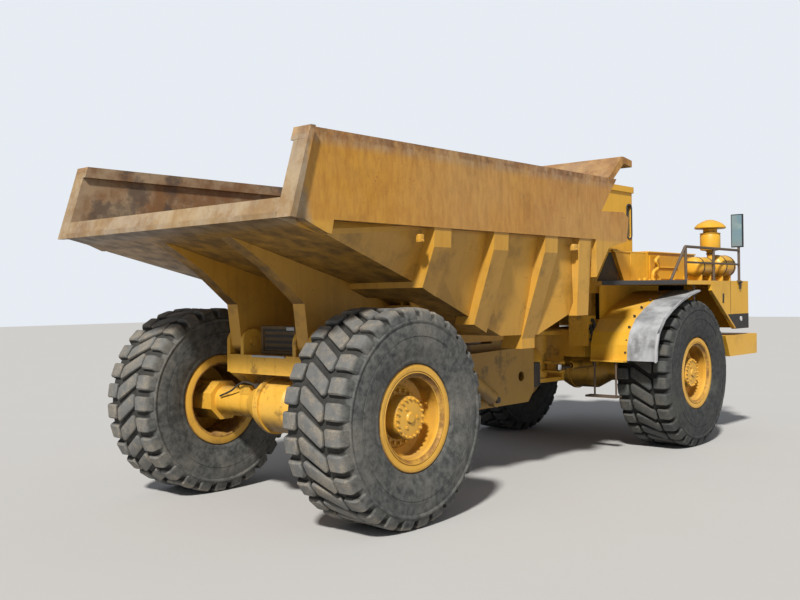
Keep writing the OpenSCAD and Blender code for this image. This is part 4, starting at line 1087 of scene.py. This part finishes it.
def hydraulic_lines():
    """Fixed pipes bundled on the valve block beside the middle joint, and the block's caps."""
    routes = [[(5.22, -0.835, 1.90), (5.22, -0.880, 1.86), (5.21, -0.885, 1.60),
               (5.26, -0.880, 1.42), (5.40, -0.800, 1.33), (5.60, -0.700, 1.30),
               (5.62, -0.640, 1.38)],
              [(5.27, -0.835, 1.84), (5.27, -0.872, 1.80), (5.26, -0.875, 1.60),
               (5.32, -0.860, 1.46), (5.46, -0.790, 1.38), (5.66, -0.700, 1.36),
               (5.70, -0.640, 1.42)],
              [(5.16, -0.835, 1.78), (5.16, -0.880, 1.74), (5.16, -0.885, 1.56),
               (5.20, -0.880, 1.38), (5.34, -0.800, 1.27), (5.52, -0.700, 1.24),
               (5.54, -0.640, 1.37)]]
    pipes = []
    for route in routes:
        pipe = tube("pipe", [at(*point) for point in route], 0.021)
        for x, y, z in (route[0], route[-1]):
            pipes.append(Shape("nut").round_bar(at(x, y, z), at(x, y - 0.030, z), 0.030, 6))
        pipes.append(pipe)
    joined("hydraulic_lines", pipes).ready(BLACK, "tractor", "black_paint")
    spools = []
    for z in (1.62, 1.72, 1.82):
        for x in (5.17, 5.24, 5.31):
            cap = Shape("spool").round_bar(at(x, -0.828, z), at(x, -0.862, z), 0.022, 12)
            cap.soften(0.004, 1)
            spools.append(cap)
    joined("valve_caps", spools).ready(STEEL, "tractor", "dark_steel")


FINS = 24
FIN_Z = 1.680
FIN_STEP = 0.0475


def radiator():
    """The dark core seen between the grille's bars, with its rows of fins."""
    core = Shape("radiator").block(at(8.335, -0.850, 1.640), at(8.385, 0.850, 2.840))
    core.soften(0.008, 1)
    parts = [core]
    for i in range(FINS):
        z = FIN_Z + FIN_STEP * i
        parts.append(Shape("fin").block(at(8.384, -0.830, z), at(8.392, 0.830, z + 0.012)))
    joined("radiator", parts).ready(STEEL, "tractor", "dark_steel")


for pane in PANES:
    pane_seal(*pane)
cab_inside()
lamp_bezels()
rear_plate()
axle_trim(REAR_AXLE_X, "rear_half", True)
axle_trim(FRONT_AXLE_X, "tractor", False)
bed_hooks()
bed_corner_plates()
hydraulic_lines()
radiator()


# Floor, backdrop and light
FLOOR_SIZE = 160
FLOOR_GREY = (0.52, 0.52, 0.515)
SKY_LIGHT = ((0.88, 0.92, 1.0, 1), 0.30)
SKY_SEEN = ((0.80, 0.84, 0.90, 1), 1.0)
SUN_ENERGY = 4.5
SUN_COLOUR = (1.0, 0.96, 0.9)
SUN_TOWARD = Vector((0.66, 0.34, -0.70))


def floor_paint():
    paint = Paint("floor_paint")
    tone = paint.mix(FLOOR_GREY, tuple(c * 0.97 for c in FLOOR_GREY), paint.noise(0.6, 3.0))
    return paint.surface(colour=tone, rough=0.9)


def set_stage():
    clear()
    bpy.ops.mesh.primitive_plane_add(size=FLOOR_SIZE, location=(0, 0, 0))
    floor = bpy.context.object
    floor.name = "studio_floor"
    floor.data.materials.append(floor_paint())
    world = bpy.data.worlds.new("studio")
    scene.world = world
    world.use_nodes = True
    tree = world.node_tree
    tree.nodes.clear()
    path = tree.nodes.new("ShaderNodeLightPath")
    mix = tree.nodes.new("ShaderNodeMixShader")
    out = tree.nodes.new("ShaderNodeOutputWorld")
    tree.links.new(path.outputs["Is Camera Ray"], mix.inputs[0])
    for place, (colour, strength) in enumerate((SKY_LIGHT, SKY_SEEN), 1):
        sky = tree.nodes.new("ShaderNodeBackground")
        sky.inputs["Color"].default_value = colour
        sky.inputs["Strength"].default_value = strength
        tree.links.new(sky.outputs[0], mix.inputs[place])
    tree.links.new(mix.outputs[0], out.inputs[0])
    sun = bpy.data.lights.new("sun", "SUN")
    sun.energy = SUN_ENERGY
    sun.angle = math.radians(5)
    sun.color = SUN_COLOUR
    lamp = bpy.data.objects.new("sun", sun)
    scene.collection.objects.link(lamp)
    lamp.rotation_mode = "QUATERNION"
    lamp.rotation_quaternion = SUN_TOWARD.to_track_quat("-Z", "Y")


set_stage()
